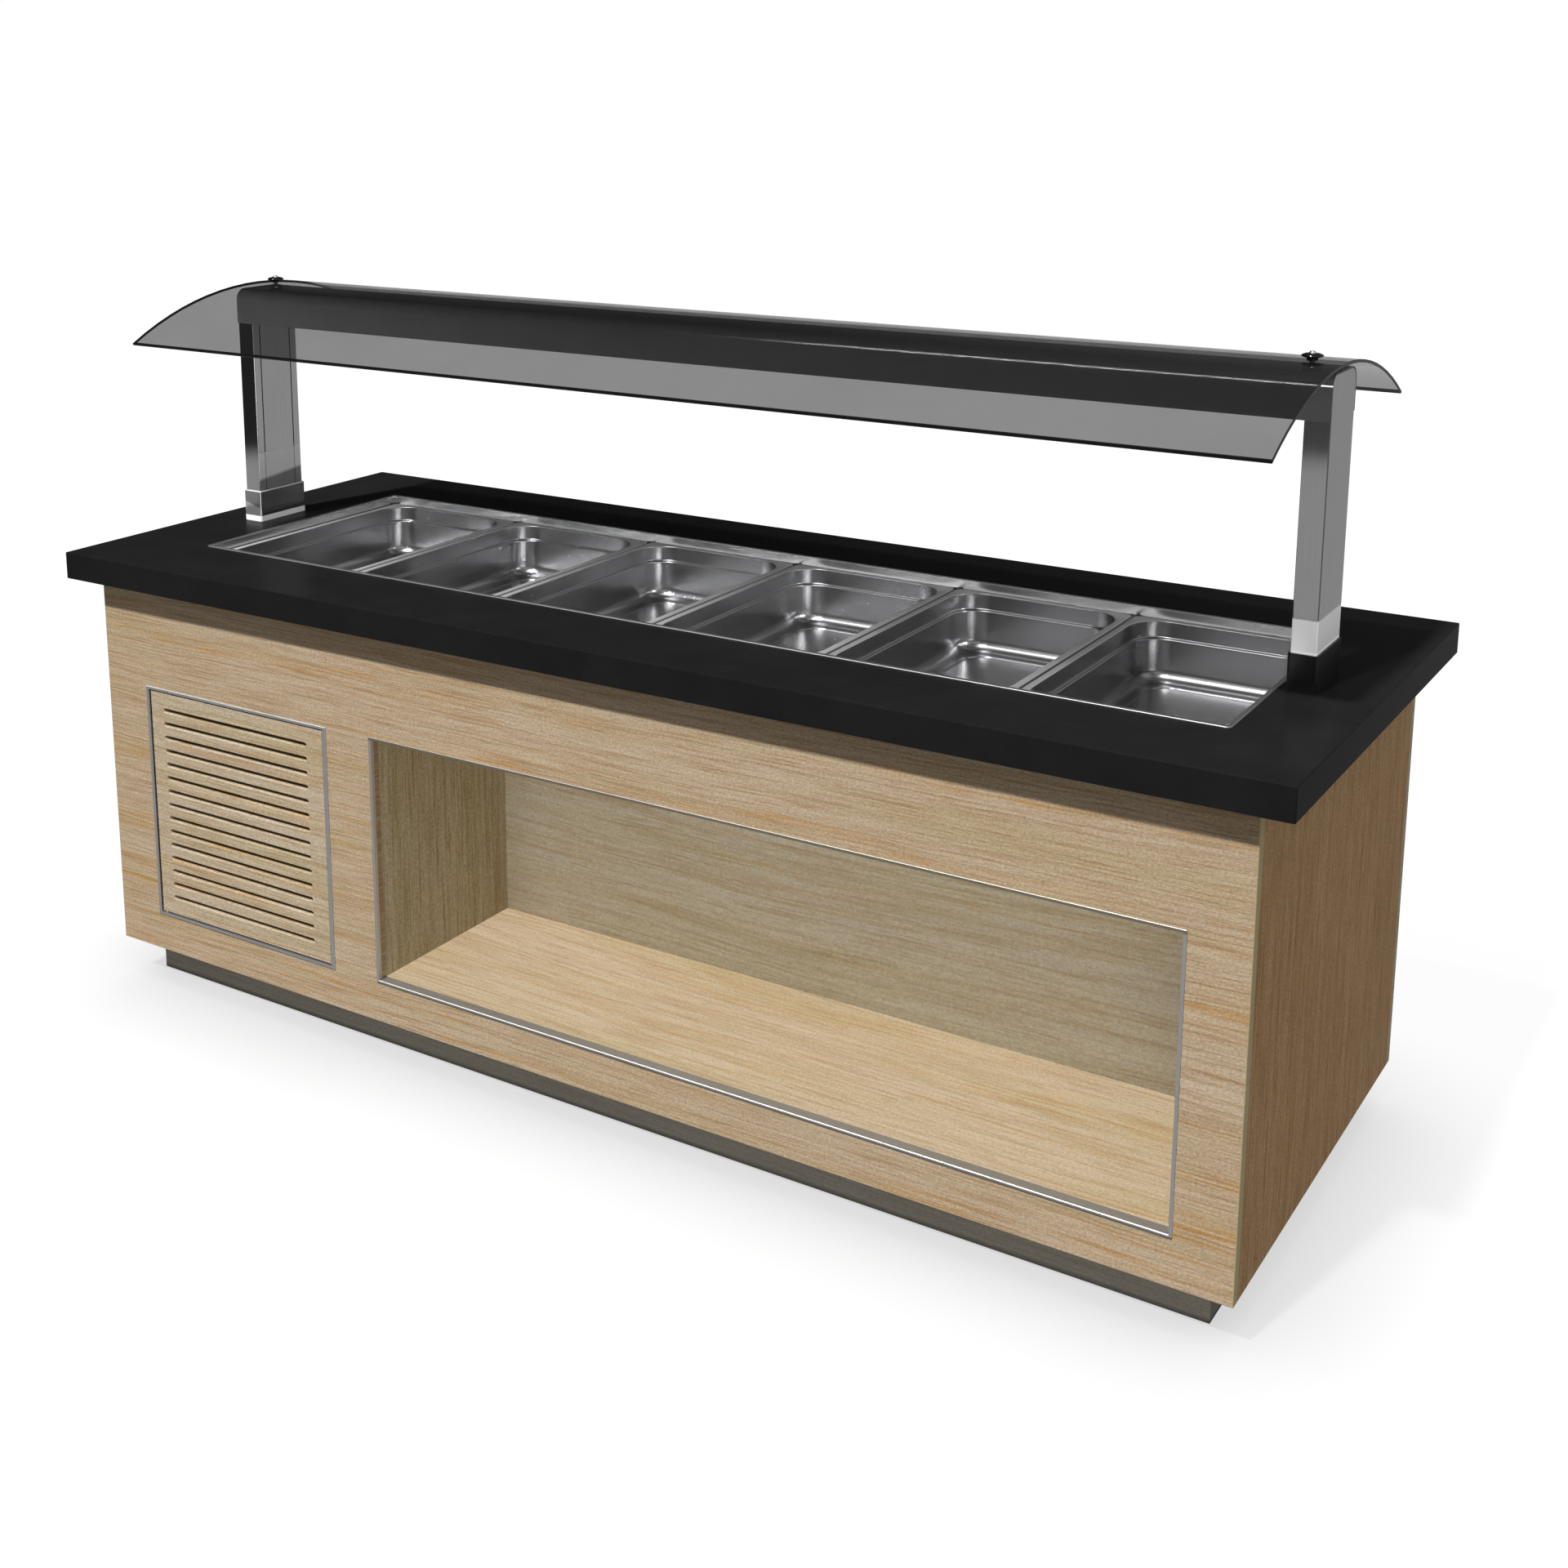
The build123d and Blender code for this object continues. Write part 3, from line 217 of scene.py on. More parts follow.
def door_gap_shade(g, p, base):
    """Painted shade: the door's own edge faces are painted nearly black, standing in for the shade in the gap round
    it.
    """
    across = g.span(g.math("ABSOLUTE", g.plus(p[0], 0.777)), 0.2183, 0.2187, 0.0, 1.0)
    upright = g.span(g.math("ABSOLUTE", g.plus(p[2], -0.379)), 0.2223, 0.2227, 0.0, 1.0)
    behind = g.span(p[1], -0.4103, -0.4099, 0.0, 1.0)
    return g.mix(g.times(g.math("MAXIMUM", across, upright), behind), base, (0.02, 0.018, 0.015))


def plinth_foot_shade(g, p, base):
    """Painted shade: the plinth's colour darkens where it meets the ground, standing in for shadow there."""
    return g.mix(g.span(p[2], 0.010, 0.003, 0.0, 0.75), base, (0.035, 0.032, 0.028))


dress(oak("oak_front", 0, 2, (0.385, 0.289, 0.187), 0.31, golden=1.28, edge=edge_band_highlight), "front_panel")
dress(oak("oak_door", 0, 2, (0.395, 0.314, 0.214), 3.17, drift=0.025, lines=0.9, golden=0.75, edge=door_gap_shade), "grille_door")
dress(oak("oak_end", 2, 1, (0.388, 0.226, 0.096), 5.71, drift=0.018, lines=1.0, golden=0.4, fine=0.55, spec=0.10), "left_end_panel", "right_end_panel")
dress(oak("oak_side", 2, 1, (0.325, 0.267, 0.168), 7.13, drift=0.015, golden=0.35, fine=0.7, spec=0.12), "niche_side_walls")
dress(oak("oak_back", 0, 2, (0.365, 0.312, 0.222), 9.47, drift=0.070, lines=0.70, golden=0.55, fine=0.8, speck=0.7, emboss=0.6, spec=0.12),
      "niche_back_wall", "rear_panel", "rear_service_panel")
dress(oak("oak_shelf", 0, 1, (0.440, 0.345, 0.226), 11.9, drift=0.060, lines=0.75, golden=0.60, fine=0.55, speck=0.7, emboss=0.6, spec=0.12),
      "niche_floor", "niche_ceiling", "base_panel")
dress(wood("plinth_laminate", 0, 2, [(0.124, 0.113, 0.093), (0.120, 0.109, 0.089), (0.116, 0.105, 0.084)], gold=(0.115, 0.098, 0.070),
           dark=(0.085, 0.075, 0.058), light=(0.140, 0.129, 0.108), seed=17.7, golden=0.3, lines=0.6, speck=0.6, emboss=0.3, rough=0.55,
           spec=0.12, edge=plinth_foot_shade), "plinth_boards")


def plies(name):
    g = Graph(name)
    p = g.split(g.coord())
    band = g.math("FRACT", g.times(p[2], 380.0))
    grain = g.noise(g.join(g.times(p[0], 3.0), g.times(p[1], 90.0), g.times(p[2], 300.0)), 1.0, 4.0, 0.6)
    col = g.mix(g.span(band, 0.45, 0.55), (0.50, 0.36, 0.20), (0.36, 0.23, 0.11))
    col = g.mix(g.span(grain, 0.45, 0.75, 0.0, 0.5), col, (0.26, 0.15, 0.07))
    g.set(Base_Color=col, Roughness=g.span(grain, 0.3, 0.7, 0.55, 0.75))
    g.bump(grain, 0.2, 0.0005)
    return g.mat


dress(plies("plywood_core"), "counter_substrate")


# ---------------------------------------------------------------- stone
def stone(name):
    g = Graph(name)
    c = g.coord()
    cloud = g.noise(c, 9.0, 5.0, 0.6)
    fleck = g.voronoi(c, 420.0)
    grit = g.noise(c, 900.0, 2.0, 0.6)
    col = g.mix(g.span(cloud, 0.35, 0.70), (0.0104, 0.0104, 0.0106), (0.0136, 0.0134, 0.0132))
    spot = g.times(g.span(fleck, 0.16, 0.08, 0.0, 1.0), g.span(grit, 0.55, 0.70, 0.0, 1.0))
    col = g.mix(g.times(spot, 0.6), col, (0.05, 0.05, 0.052))
    g.set(Base_Color=col, Roughness=g.span(g.plus(cloud, g.times(grit, 0.4)), 0.3, 1.1, 0.20, 0.30), Specular_IOR_Level=0.25, IOR=1.08)
    g.bump(g.plus(cloud, g.times(grit, 0.2)), 0.012, 0.0006)
    return g.mat


dress(stone("black_stone_polished"), "countertop")


# ---------------------------------------------------------------- metals
def brushed(name, col, rough, axis, density=700.0, spread=0.06, lines=0.04, smear=0.03, bump=0.02, lip=None, lip_tone_and_highlight=0.50):
    """Stainless or aluminium sheet brushed along one axis, with faint smears. lip gives a
    height above which the sheet is the rougher folded edge in its own tone; on the pans that tone is far lighter than
    the body, a painted highlight along their rims."""
    g = Graph(name)
    c = g.coord()
    p = g.split(c)
    k = [density] * 3
    k[axis] = density * 0.012
    hair = g.noise(g.join(*[g.times(p[i], k[i]) for i in range(3)]), 1.0, 3.0, 0.65)
    cloud = g.noise(c, 5.0, 3.0, 0.5)
    tone = g.mix(g.span(hair, 0.3, 0.7), tuple(x * (1 - lines) for x in col), tuple(min(1.0, x * (1 + lines)) for x in col))
    tone = g.mix(g.span(cloud, 0.45, 0.7, 0.0, smear * 3), tone, tuple(x * 0.8 for x in col))
    r = g.plus(g.span(hair, 0.3, 0.7, rough - spread * 0.5, rough + spread * 0.5), g.span(cloud, 0.4, 0.7, 0.0, smear))
    if lip:
        edge = g.span(p[2], lip - 0.0004, lip, 0.0, 1.0)
        r = g.plus(r, g.times(edge, 0.16))
        tone = g.mix(edge, tone, (lip_tone_and_highlight, lip_tone_and_highlight, lip_tone_and_highlight))
    g.set(Base_Color=tone, Metallic=1.0, Roughness=r)
    if bump:
        g.bump(hair, bump, 0.0002)
    return g.mat


# The pans' folded edges are painted far lighter than the body: painted highlight.
pan_steel = brushed("pan_steel_satin", (0.325, 0.325, 0.33), 0.25, 1, density=420.0, spread=0.025, lines=0.02, smear=0.012, bump=0.0, lip=0.8417, lip_tone_and_highlight=0.74)
well_steel = brushed("well_steel_brushed", (0.54, 0.54, 0.545), 0.24, 0, density=500.0, spread=0.04, lines=0.03, smear=0.02, bump=0.0, lip=0.8572)
dress(pan_steel, *[f"gn_pan_{i}" for i in range(1, 7)])
dress(well_steel, "well_tank", "pan_support_bars")


def polished(name, col, rough, groove=False, foot=0.0, painted_reflection_height=0.0):
    """Polished steel with faint vertical draw lines. groove paints shade into the gap round the wiring
    covers and paints the posts' front-outer corner dark, a painted reflection; foot is the height of the collar's
    bottom band, a painted highlight, and also turns on the collar's painted faces;
    the last argument is the height below which the right post, and the left one's face towards the pans, are painted
    lighter, rougher and less metallic, a painted reflection; that face is painted dark just above the collar, a
    painted dark reflection, and the bottom edge of the right post's metal is painted almost white, a painted
    highlight."""
    g = Graph(name)
    c = g.coord()
    p = g.split(c)
    hair = g.noise(g.join(g.times(p[0], 650.0), g.times(p[1], 650.0), g.times(p[2], 8.0)), 1.0, 3.0, 0.65)
    cloud = g.noise(c, 7.0, 4.0, 0.55)
    tone = g.mix(g.span(hair, 0.3, 0.7), tuple(x * 0.95 for x in col), tuple(x * 1.05 for x in col))
    tone = g.mix(g.span(cloud, 0.42, 0.70, 0.0, 0.12), tone, tuple(x * 0.75 for x in col))
    r = g.plus(g.span(hair, 0.3, 0.7, rough * 0.8, rough * 1.2), g.span(cloud, 0.45, 0.75, 0.0, 0.02))
    # Painted shade: the gap round the wiring covers is painted nearly black.
    if groove:
        y = g.math("ABSOLUTE", p[1])
        gap = g.times(g.span(y, 0.0398, 0.0402), g.span(y, 0.0428, 0.0424))
        face = g.span(g.math("ABSOLUTE", p[0]), 1.0382, 1.0378)
        gap = g.times(gap, face)
        tone = g.mix(gap, tone, (0.02, 0.02, 0.02))
        r = g.plus(r, g.times(gap, 0.4))
    # Painted reflection: the posts' front-outer corner is painted as a dark line.
    if groove:
        painted_corner_reflection = g.times(g.span(p[1], -0.0583, -0.0587), g.span(g.math("ABSOLUTE", p[0]), 1.0723, 1.0727))
        tone = g.mix(g.times(painted_corner_reflection, 0.8), tone, (0.10, 0.10, 0.10))
    # Painted reflections: below the given height the posts are painted lighter and less metallic, the left post's
    # inner face is painted dark just above the collar, and the right post's bottom edge is painted almost white as a
    # highlight.
    if painted_reflection_height:
        top = g.math("SUBTRACT", p[2], g.span(p[0], -0.1, 0.0, 0.030, 0.0))
        painted_reflection_zone = g.times(g.span(top, painted_reflection_height + 0.002, painted_reflection_height - 0.002, 0.0, 1.0), g.span(p[0], -1.0368, -1.0362))
        rise = g.plus(p[2], g.times(p[1], -0.10))
        painted_dark_reflection = g.times(g.span(rise, 0.951, 0.944), g.span(p[0], 0.1, -0.1))
        reflection_zone_tone = g.mix(g.times(painted_dark_reflection, g.span(cloud, 0.3, 0.7, 0.85, 1.0)), (0.88, 0.88, 0.88), (0.22, 0.22, 0.22))
        painted_hem_highlight = g.times(g.span(p[2], 0.9192, 0.9186), g.span(p[0], 0.0, 0.1))
        r = g.plus(r, g.times(painted_reflection_zone, 0.30))
        tone = g.mix(painted_hem_highlight, g.mix(painted_reflection_zone, tone, reflection_zone_tone), (0.97, 0.97, 0.97))
        g.set(Metallic=g.math("SUBTRACT", g.span(painted_reflection_zone, 0.0, 1.0, 1.0, 0.40), g.times(painted_hem_highlight, 0.3)))
    # Painted reflections and highlights on the collar: its right face is painted dark and its front split on a slant
    # into a darker upper and a lighter lower part, standing in for reflections; the bottom band, the top edge and the
    # front-right corner are painted pale as highlights.
    if foot:
        band = g.span(p[2], foot + 0.0006, foot, 0.0, 1.0)
        flank = g.span(p[0], -1.0328, -1.0324)
        nose = g.span(g.plus(p[2], g.times(p[0], 0.30)), 0.5755, 0.5725)
        face = g.mix(nose, (0.36, 0.36, 0.36), (0.78, 0.78, 0.78))
        body = g.mix(flank, face, g.mix(g.span(cloud, 0.35, 0.70), (0.13, 0.13, 0.13), (0.21, 0.21, 0.21)))
        rim = g.math("MAXIMUM", g.span(p[2], 0.9172, 0.9178), g.times(g.span(p[0], -1.0345, -1.0340), g.span(p[1], -0.0620, -0.0626)))
        pale = g.math("MAXIMUM", band, g.times(rim, 0.8))
        r = g.plus(r, g.span(pale, 0.0, 1.0, 0.10, 0.40))
        tone = g.mix(pale, body, (0.80, 0.80, 0.80))
        g.set(Metallic=g.span(pale, 0.0, 1.0, 0.92, 0.45))
    g.set(Base_Color=tone, Roughness=r)
    if not painted_reflection_height and not foot:
        g.set(Metallic=1.0)
    return g.mat


def knob_steel(name):
    """Polished head painted dark, a painted dark reflection, with the turned boss in the middle painted bright, a
    painted highlight.
    """
    g = Graph(name)
    p = g.split(g.coord())
    x = g.math("SUBTRACT", g.math("ABSOLUTE", p[0]), 1.026)
    reach = g.math("SQRT", g.plus(g.times(x, x), g.times(p[1], p[1])))
    # Painted highlight: the centre boss is painted almost white over the dark head.
    ring = g.noise(g.join(g.times(reach, 2600.0), g.times(p[2], 900.0), 0.0), 1.0, 2.0, 0.5)
    boss = g.span(reach, 0.0066, 0.0060, 0.0, 1.0)
    tone = g.mix(boss, g.mix(ring, (0.050, 0.050, 0.052), (0.075, 0.075, 0.077)), (0.85, 0.85, 0.85))
    g.set(Base_Color=tone, Metallic=1.0, Roughness=g.plus(g.span(ring, 0.3, 0.7, 0.10, 0.16), g.times(boss, 0.12)))
    return g.mat


# The posts' lower parts carry painted reflections and a painted highlight, set in polished.
dress(polished("post_steel_polished", (0.60, 0.60, 0.605), 0.035, groove=True, painted_reflection_height=0.967), "post_left", "post_right", "post_wiring_covers")
dress(polished("collar_steel_polished", (0.62, 0.62, 0.625), 0.05, foot=0.868), "post_collar")
dress(polished("lever_steel", (0.60, 0.60, 0.605), 0.10), "drain_valve_lever")
dress(knob_steel("knob_steel"), "thumb_screw_left", "thumb_screw_right")
dress(brushed("trim_aluminium_satin", (0.60, 0.60, 0.595), 0.50, 0, density=900.0, spread=0.08, lines=0.04, bump=0.0), "grille_trim", "led_strip", "fan_blade")


def niche_edging(name):
    """Satin aluminium edging: a darker, warmer top rail, and a dark line under the sill's nose that is painted shadow.
    """
    g = Graph(name)
    c = g.coord()
    p = g.split(c)
    hair = g.noise(g.join(g.times(p[0], 11.0), g.times(p[1], 900.0), g.times(p[2], 900.0)), 1.0, 3.0, 0.65)
    cloud = g.noise(c, 5.0, 3.0, 0.5)
    tone = g.mix(g.span(hair, 0.3, 0.7), (0.575, 0.575, 0.57), (0.625, 0.625, 0.62))
    tone = g.mix(g.span(cloud, 0.45, 0.7, 0.0, 0.09), tone, (0.48, 0.48, 0.476))
    head = g.span(p[2], 0.6050, 0.6062)
    tone = g.mix(head, tone, (0.36, 0.325, 0.27))
    # Painted shadow: the sill's face under its nose is painted dark.
    painted_shadow_line = g.span(p[2], 0.1532, 0.1526)
    tone = g.mix(g.times(painted_shadow_line, 0.85), tone, (0.075, 0.070, 0.062))
    g.set(Base_Color=tone, Metallic=g.span(painted_shadow_line, 0.0, 1.0, 1.0, 0.3),
          Roughness=g.plus(g.span(hair, 0.3, 0.7, 0.46, 0.54), g.span(cloud, 0.4, 0.7, 0.0, 0.03)))
    return g.mat


dress(niche_edging("trim_aluminium_edging"), "niche_trim")
dress(brushed("zinc_bright", (0.60, 0.60, 0.58), 0.32, 2, density=900.0, spread=0.12, lines=0.08), "service_panel_screws", "door_pivot_pins", "door_keeper_plate", "post_bolts")


def copper(name, col, rough):
    g = Graph(name)
    c = g.coord()
    patina = g.noise(c, 26.0, 5.0, 0.6)
    draw = g.noise(c, 600.0, 2.0, 0.5)
    tone = g.mix(g.span(patina, 0.42, 0.68), col, tuple(x * 0.55 for x in col))
    g.set(Base_Color=tone, Metallic=1.0, Roughness=g.plus(g.span(patina, 0.4, 0.7, rough, rough + 0.22), g.span(draw, 0.3, 0.7, 0.0, 0.05)))
    g.bump(draw, 0.05, 0.0002)
    return g.mat


dress(copper("copper_drawn", (0.72, 0.36, 0.20), 0.22), "refrigerant_lines", "evaporator_coil", "filter_drier")
dress(copper("brass_cast", (0.66, 0.47, 0.20), 0.28), "drain_valve")


def galvanised(name):
    g = Graph(name)
    c = g.coord()
    t = g.n("ShaderNodeTexVoronoi")
    g.put(t.inputs["Vector"], c)
    t.inputs["Scale"].default_value = 75.0
    s = g.n("ShaderNodeSeparateColor")
    g.put(s.inputs[0], t.outputs["Color"])
    tone = g.mix(s.outputs[0], (0.42, 0.43, 0.44), (0.58, 0.59, 0.60))
    g.set(Base_Color=tone, Metallic=1.0, Roughness=g.span(s.outputs[1], 0.0, 1.0, 0.30, 0.48))
    g.bump(s.outputs[2], 0.03, 0.0002)
    return g.mat


dress(galvanised("galvanised_sheet"), "unit_tray")


# ---------------------------------------------------------------- paints and plastics
def coated(name, col, rough, grain=260.0, depth=0.08, spec=0.5, dust=0.25):
    """Painted or moulded surface with fine grain, orange peel and a little dust."""
    g = Graph(name)
    c = g.coord()
    peel = g.noise(c, grain, 3.0, 0.55)
    cloud = g.noise(c, 14.0, 4.0, 0.6)
    tone = g.mix(g.span(cloud, 0.35, 0.72, 0.0, dust), col, tuple(min(1.0, x * 1.5 + 0.004) for x in col))
    g.set(Base_Color=tone, Roughness=g.plus(g.span(peel, 0.3, 0.7, rough - 0.04, rough + 0.05), g.span(cloud, 0.4, 0.75, 0.0, 0.06)), Specular_IOR_Level=spec)
    g.bump(peel, depth, 0.0004)
    return g.mat


dress(coated("beam_black_enamel", (0.045, 0.045, 0.046), 0.10, grain=420.0, depth=0.006, dust=0.2), "beam_housing")
dress(coated("black_enamel", (0.012, 0.012, 0.013), 0.30, grain=300.0, depth=0.06), "compressor", "fan_cowl", "fan_motor")
dress(coated("black_moulded", (0.018, 0.018, 0.018), 0.42, grain=1500.0, depth=0.18), "control_panel", "rocker_switch_power", "rocker_switch_light",
      "thermostat_knob", "cable_gland", "door_magnet")
dress(coated("foot_black_moulded", (0.0095, 0.0095, 0.0095), 0.30, grain=900.0, depth=0.05, spec=0.3), "post_foot_cover")
dress(coated("rubber_black", (0.020, 0.020, 0.020), 0.68, grain=800.0, depth=0.15, spec=0.3), "compressor_mounts", "guard_spacers")
dress(coated("opal_diffuser", (0.86, 0.86, 0.83), 0.30, grain=700.0, depth=0.05, dust=0.1), "lamp_diffuser")
dress(coated("pipe_white", (0.74, 0.74, 0.71), 0.38, grain=500.0, depth=0.05, dust=0.2), "drain_pipe")
dress(coated("foam_rigid", (0.62, 0.50, 0.26), 0.80, grain=700.0, depth=0.5, spec=0.2), "tank_insulation")


def finned(name):
    """Condenser core: bright fin edges over a dark core, the dark between the fins painted shade; dusty in patches."""
    g = Graph(name)
    c = g.coord()
    p = g.split(c)
    fin = g.math("FRACT", g.times(p[0], 420.0))
    tube = g.math("FRACT", g.times(p[2], 40.0))
    dust = g.noise(c, 9.0, 4.0, 0.6)
    # Painted shade: the core between the fins is painted almost black.
    tone = g.mix(g.span(fin, 0.42, 0.52), (0.015, 0.015, 0.016), (0.30, 0.30, 0.305))
    tone = g.mix(g.times(g.span(tube, 0.80, 0.86), 0.7), tone, (0.06, 0.055, 0.05))
    tone = g.mix(g.span(dust, 0.45, 0.75, 0.0, 0.45), tone, (0.13, 0.125, 0.115))
    g.set(Base_Color=tone, Metallic=0.6, Roughness=g.span(dust, 0.3, 0.8, 0.38, 0.62))
    return g.mat


dress(finned("condenser_fins"), "condenser")


# ---------------------------------------------------------------- smoked guard
def smoked(name):
    """Smoked sheet: both faces pass part of the light, cut edges read nearly black."""
    g = Graph(name)
    c = g.coord()
    p = g.split(c)
    ends = g.span(g.math("ABSOLUTE", p[0]), 1.0734, 1.0742, 0.0, 1.0)
    lips = g.span(g.math("ABSOLUTE", p[1]), 0.3312, 0.3320, 0.0, 1.0)
    cut = g.math("MAXIMUM", ends, lips)
    haze = g.noise(c, 5.0, 4.0, 0.6)
    swirl = g.noise(c, 900.0, 2.0, 0.5)
    alpha = g.plus(g.span(haze, 0.3, 0.75, 0.514, 0.534), g.times(cut, 0.486))
    col = g.mix(cut, (0.008, 0.008, 0.0085), (0.003, 0.003, 0.0035))
    g.set(Base_Color=col, Alpha=alpha, Roughness=g.span(g.plus(haze, g.times(swirl, 0.3)), 0.4, 1.0, 0.02, 0.06),
          Specular_IOR_Level=0.22)
    return g.mat


dress(smoked("smoked_acrylic"), "guard_sheet")


# ---------------------------------------------------------------- stage
def plane(name, size, z):
    me = bpy.data.meshes.new(name)
    s = size / 2
    me.from_pydata([(-s, -s, z), (s, -s, z), (s, s, z), (-s, s, z)], [], [(0, 1, 2, 3)])
    o = bpy.data.objects.new(name, me)
    scene.collection.objects.link(o)
    return o


floor = plane("studio_floor", 60.0, 0.0)
# The floor glows evenly; ambient occlusion dims its glow close to the object, a painted contact shadow.
g = Graph("studio_floor_pale")
grain = g.noise(g.coord(), 3.0, 3.0, 0.5)
near = g.n("ShaderNodeAmbientOcclusion")
near.samples = 12
near.inputs["Distance"].default_value = 0.30
pale = g.mix(grain, (0.06, 0.06, 0.06), (0.07, 0.07, 0.07))
g.set(Base_Color=pale, Roughness=0.9, Specular_IOR_Level=0.1, Emission_Color=(1.0, 1.0, 1.0),
      Emission_Strength=g.span(near.outputs["AO"], 0.35, 1.0, 0.64, 0.95))
floor.data.materials.append(g.mat)
floor.visible_diffuse = False
floor.visible_glossy = False


# ---------------------------------------------------------------- light
# The room seen in reflections: dark wall above a pale floor in front, a pale wall on the
# right, a dark one behind the counter, a soft ceiling. The camera sees plain white.
world = bpy.data.worlds.new("studio")
scene.world = world
world.use_nodes = True
w = Graph("studio", world.node_tree)
out = w.n("ShaderNodeOutputWorld")
dx, dy, dz = w.split(w.coord("Generated"))
front = w.span(dy, 0.25, -0.15)
right = w.span(dx, 0.02, 0.22)
wall = w.span(dx, -0.65, -0.30, 0.022, 0.07)
low = w.span(dz, -0.182, -0.190)
up = w.span(dz, -1.0, 1.0)


def by_height(stops):
    return w.ramp(up, [((z + 1.0) / 2.0, v) for z, v in stops])


ahead = w.blend(low, w.plus(wall, by_height([(0.42, 0.0), (0.70, 0.10), (0.92, 0.36)])), 0.38)
behind = by_height([(-0.06, 0.38), (0.0, 0.02), (0.45, 0.025), (0.70, 0.10), (0.92, 0.36)])
opening = w.times(w.span(dx, -0.52, -0.14), by_height([(0.10, 0.0), (0.18, 0.14), (0.45, 0.14), (0.62, 0.0)]))
behind = w.plus(behind, opening)
aside = by_height([(-1.0, 0.36), (-0.30, 0.32), (0.05, 0.30), (0.30, 0.40), (0.70, 0.42), (0.95, 0.50)])
aside = w.times(aside, w.span(dx, 0.28, 0.62, 1.0, 1.22))
level = w.blend(right, w.blend(front, behind, ahead), aside)
room = w.n("ShaderNodeBackground")
w.put(room.inputs[0], level)
sky = w.n("ShaderNodeBackground")
sky.inputs[0].default_value = (1.0, 1.0, 1.0, 1.0)
pick = w.n("ShaderNodeMixShader")
ray = w.n("ShaderNodeLightPath")
w.put(pick.inputs[0], ray.outputs["Is Camera Ray"])
w.put(pick.inputs[1], room.outputs[0])
w.put(pick.inputs[2], sky.outputs[0])
w.put(out.inputs[0], pick.outputs[0])


def softbox(name, at, aim, w, h, power, col=(1, 1, 1)):
    d = bpy.data.lights.new(name, "AREA")
    d.shape = "RECTANGLE"
    d.size, d.size_y = w, h
    d.energy = power
    d.color = col
    o = bpy.data.objects.new(name, d)
    scene.collection.objects.link(o)
    o.location = at
    o.rotation_mode = "QUATERNION"
    o.rotation_quaternion = (Vector(aim) - Vector(at)).to_track_quat("-Z", "Y")
    o.visible_camera = False
    return o


def sun(name, towards, strength, spread, col=(1, 1, 1)):
    """A far, uniform lamp; towards points from the object to it."""
    d = bpy.data.lights.new(name, "SUN")
    d.energy = strength
    d.angle = spread
    d.color = col
    o = bpy.data.objects.new(name, d)
    scene.collection.objects.link(o)
    o.rotation_mode = "QUATERNION"
    o.rotation_quaternion = Vector(towards).to_track_quat("Z", "Y")
    return o


def only_for(lamp, *names, state="INCLUDE"):
    """A lamp that lights the named nodes and nothing else."""
    c = bpy.data.collections.new(lamp.name + "_lights")
    for n in names:
        c.objects.link(NODES[n])
    for link in c.collection_objects:
        link.light_linking.link_state = state
    lamp.light_linking.receiver_collection = c


def not_for(lamp, *names):
    """A lamp that lights everything except the named nodes."""
    only_for(lamp, *names, state="EXCLUDE")


key = sun("key", (-0.127, -0.563, 0.816), 4.76, 0.05)
not_for(key, "niche_floor")
shelf = sun("shelf_key", (0.02, -0.69, 0.724), 4.40, 0.05)
only_for(shelf, "niche_floor")
PANS = [f"gn_pan_{i}" for i in range(1, 7)]
gleam = sun("pan_key", (-0.127, -0.563, 0.816), 20.5, 0.60)
only_for(gleam, *PANS[:4])
gleam = sun("pan_key_right", (-0.127, -0.563, 0.816), 10.5, 0.50)
only_for(gleam, *PANS[4:])
side = softbox("pan_side", (11.0, -2.4, 5.0), (0.0, 0.0, 0.8), 3.4, 3.0, 900.0)
only_for(side, *PANS[:5])
window = softbox("window", (-1.56, -5.16, 3.42), (0.0, 0.0, 0.9), 1.8, 0.60, 9.0)
only_for(window, "well_tank", "post_left", "post_right", "post_collar", "thumb_screw_left", "thumb_screw_right",
         *PANS)
glint = softbox("beam_glint", (-1.56, -5.16, 3.42), (0.0, 0.0, 0.9), 2.4, 1.1, 1400.0)
glint.visible_diffuse = False
only_for(glint, "beam_housing")
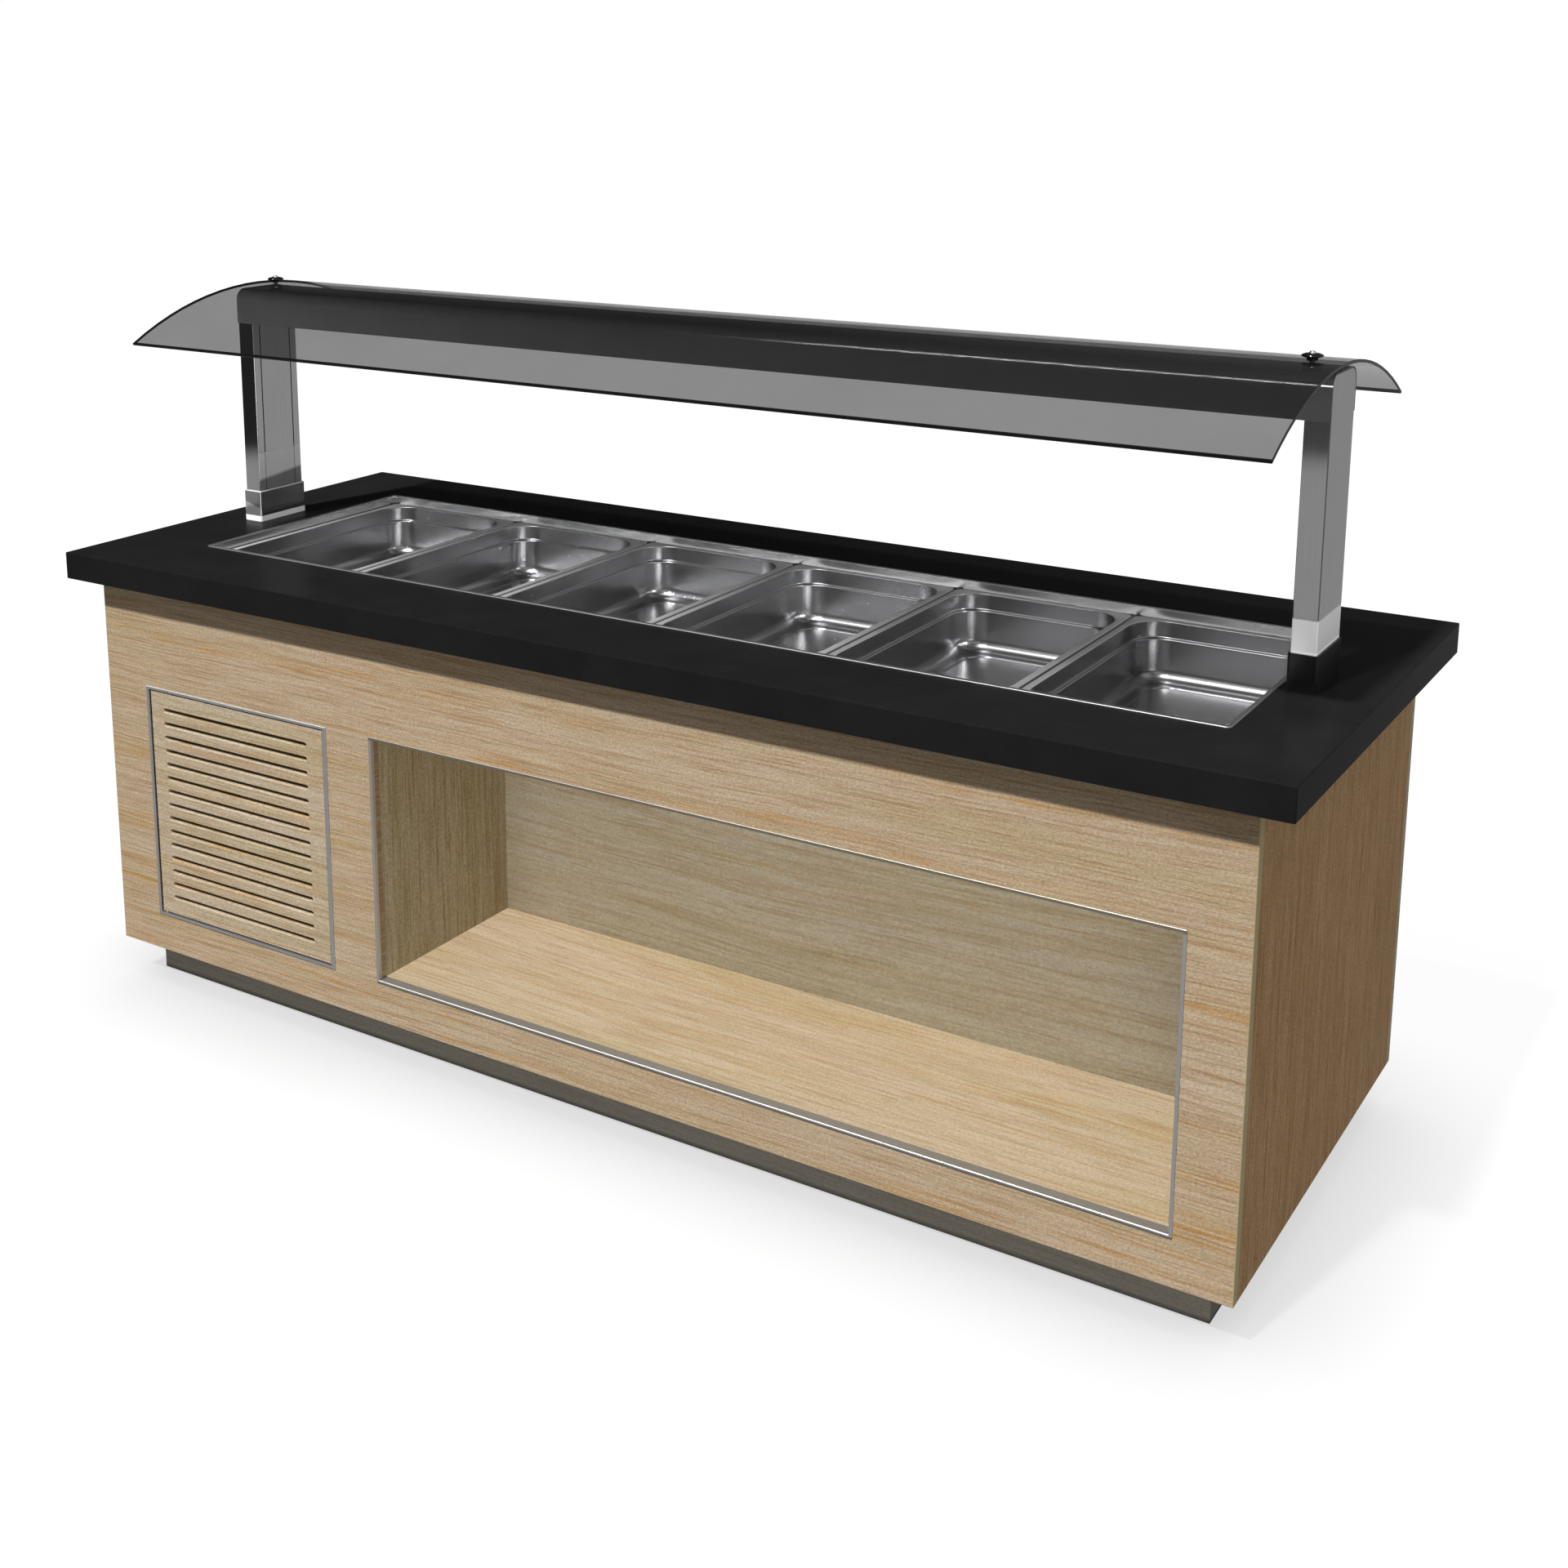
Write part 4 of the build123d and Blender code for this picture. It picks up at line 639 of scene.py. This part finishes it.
fill = softbox("beam_fill", (-2.6, -1.6, 0.65), (-0.3, 0.0, 1.29), 1.0, 0.8, 294.0)
fill.visible_glossy = False
only_for(fill, "beam_housing")
foot = softbox("foot_card", (3.2, -2.6, 1.0), (1.055, 0.0, 0.94), 0.8, 0.8, 48.0)
foot.visible_glossy = False
only_for(foot, "post_right")
card = softbox("edge_card", (4.4, -3.2, 0.35), (0.0, 0.0, 1.05), 3.0, 1.2, 22.0)
only_for(card, "post_left", "post_collar")
cuff = softbox("collar_card", (-2.2, -2.5, 1.1), (-1.05, 0.0, 0.89), 0.8, 0.8, 90.0)
cuff.visible_glossy = False
only_for(cuff, "post_collar")
cuff = softbox("collar_side", (1.2, -2.2, 1.3), (-1.05, 0.0, 0.88), 0.8, 0.8, 55.0)
cuff.visible_glossy = False
only_for(cuff, "post_collar")
recess = softbox("recess_fill", (0.7, -3.2, 0.42), (0.3, 0.0, 0.38), 4.0, 0.8, 70.0)
only_for(recess, "niche_back_wall", "niche_side_walls", "niche_ceiling", "plinth_boards")
rear = softbox("rear_fill", (0.8, 5.2, 2.2), (0.0, 0.4, 0.5), 4.0, 1.6, 125.0)
only_for(rear, "rear_panel", "rear_service_panel", "service_panel_screws", "control_panel", "rocker_switch_power",
         "rocker_switch_light", "thermostat_knob", "cable_gland")


# ---------------------------------------------------------------- camera
cam_data = bpy.data.cameras.new("camera")
cam = bpy.data.objects.new("camera", cam_data)
scene.collection.objects.link(cam)
cam_data.sensor_fit = "HORIZONTAL"
cam_data.sensor_width = 36.0
cam_data.lens = 45.884
cam_data.shift_x = 0.075
cam_data.shift_y = -0.1955
turn = Matrix(((0.833724, -0.10758, 0.5416), (0.552154, 0.172073, -0.815792), (-0.005432, 0.979192, 0.202862)))
cam.matrix_world = Matrix.Translation((1.8278, -2.8921, 1.7598)) @ turn.to_4x4()
cam_data.clip_start, cam_data.clip_end = 0.05, 200.0
scene.camera = cam
scene.view_settings.view_transform = "Standard"
scene.view_settings.look = "None"
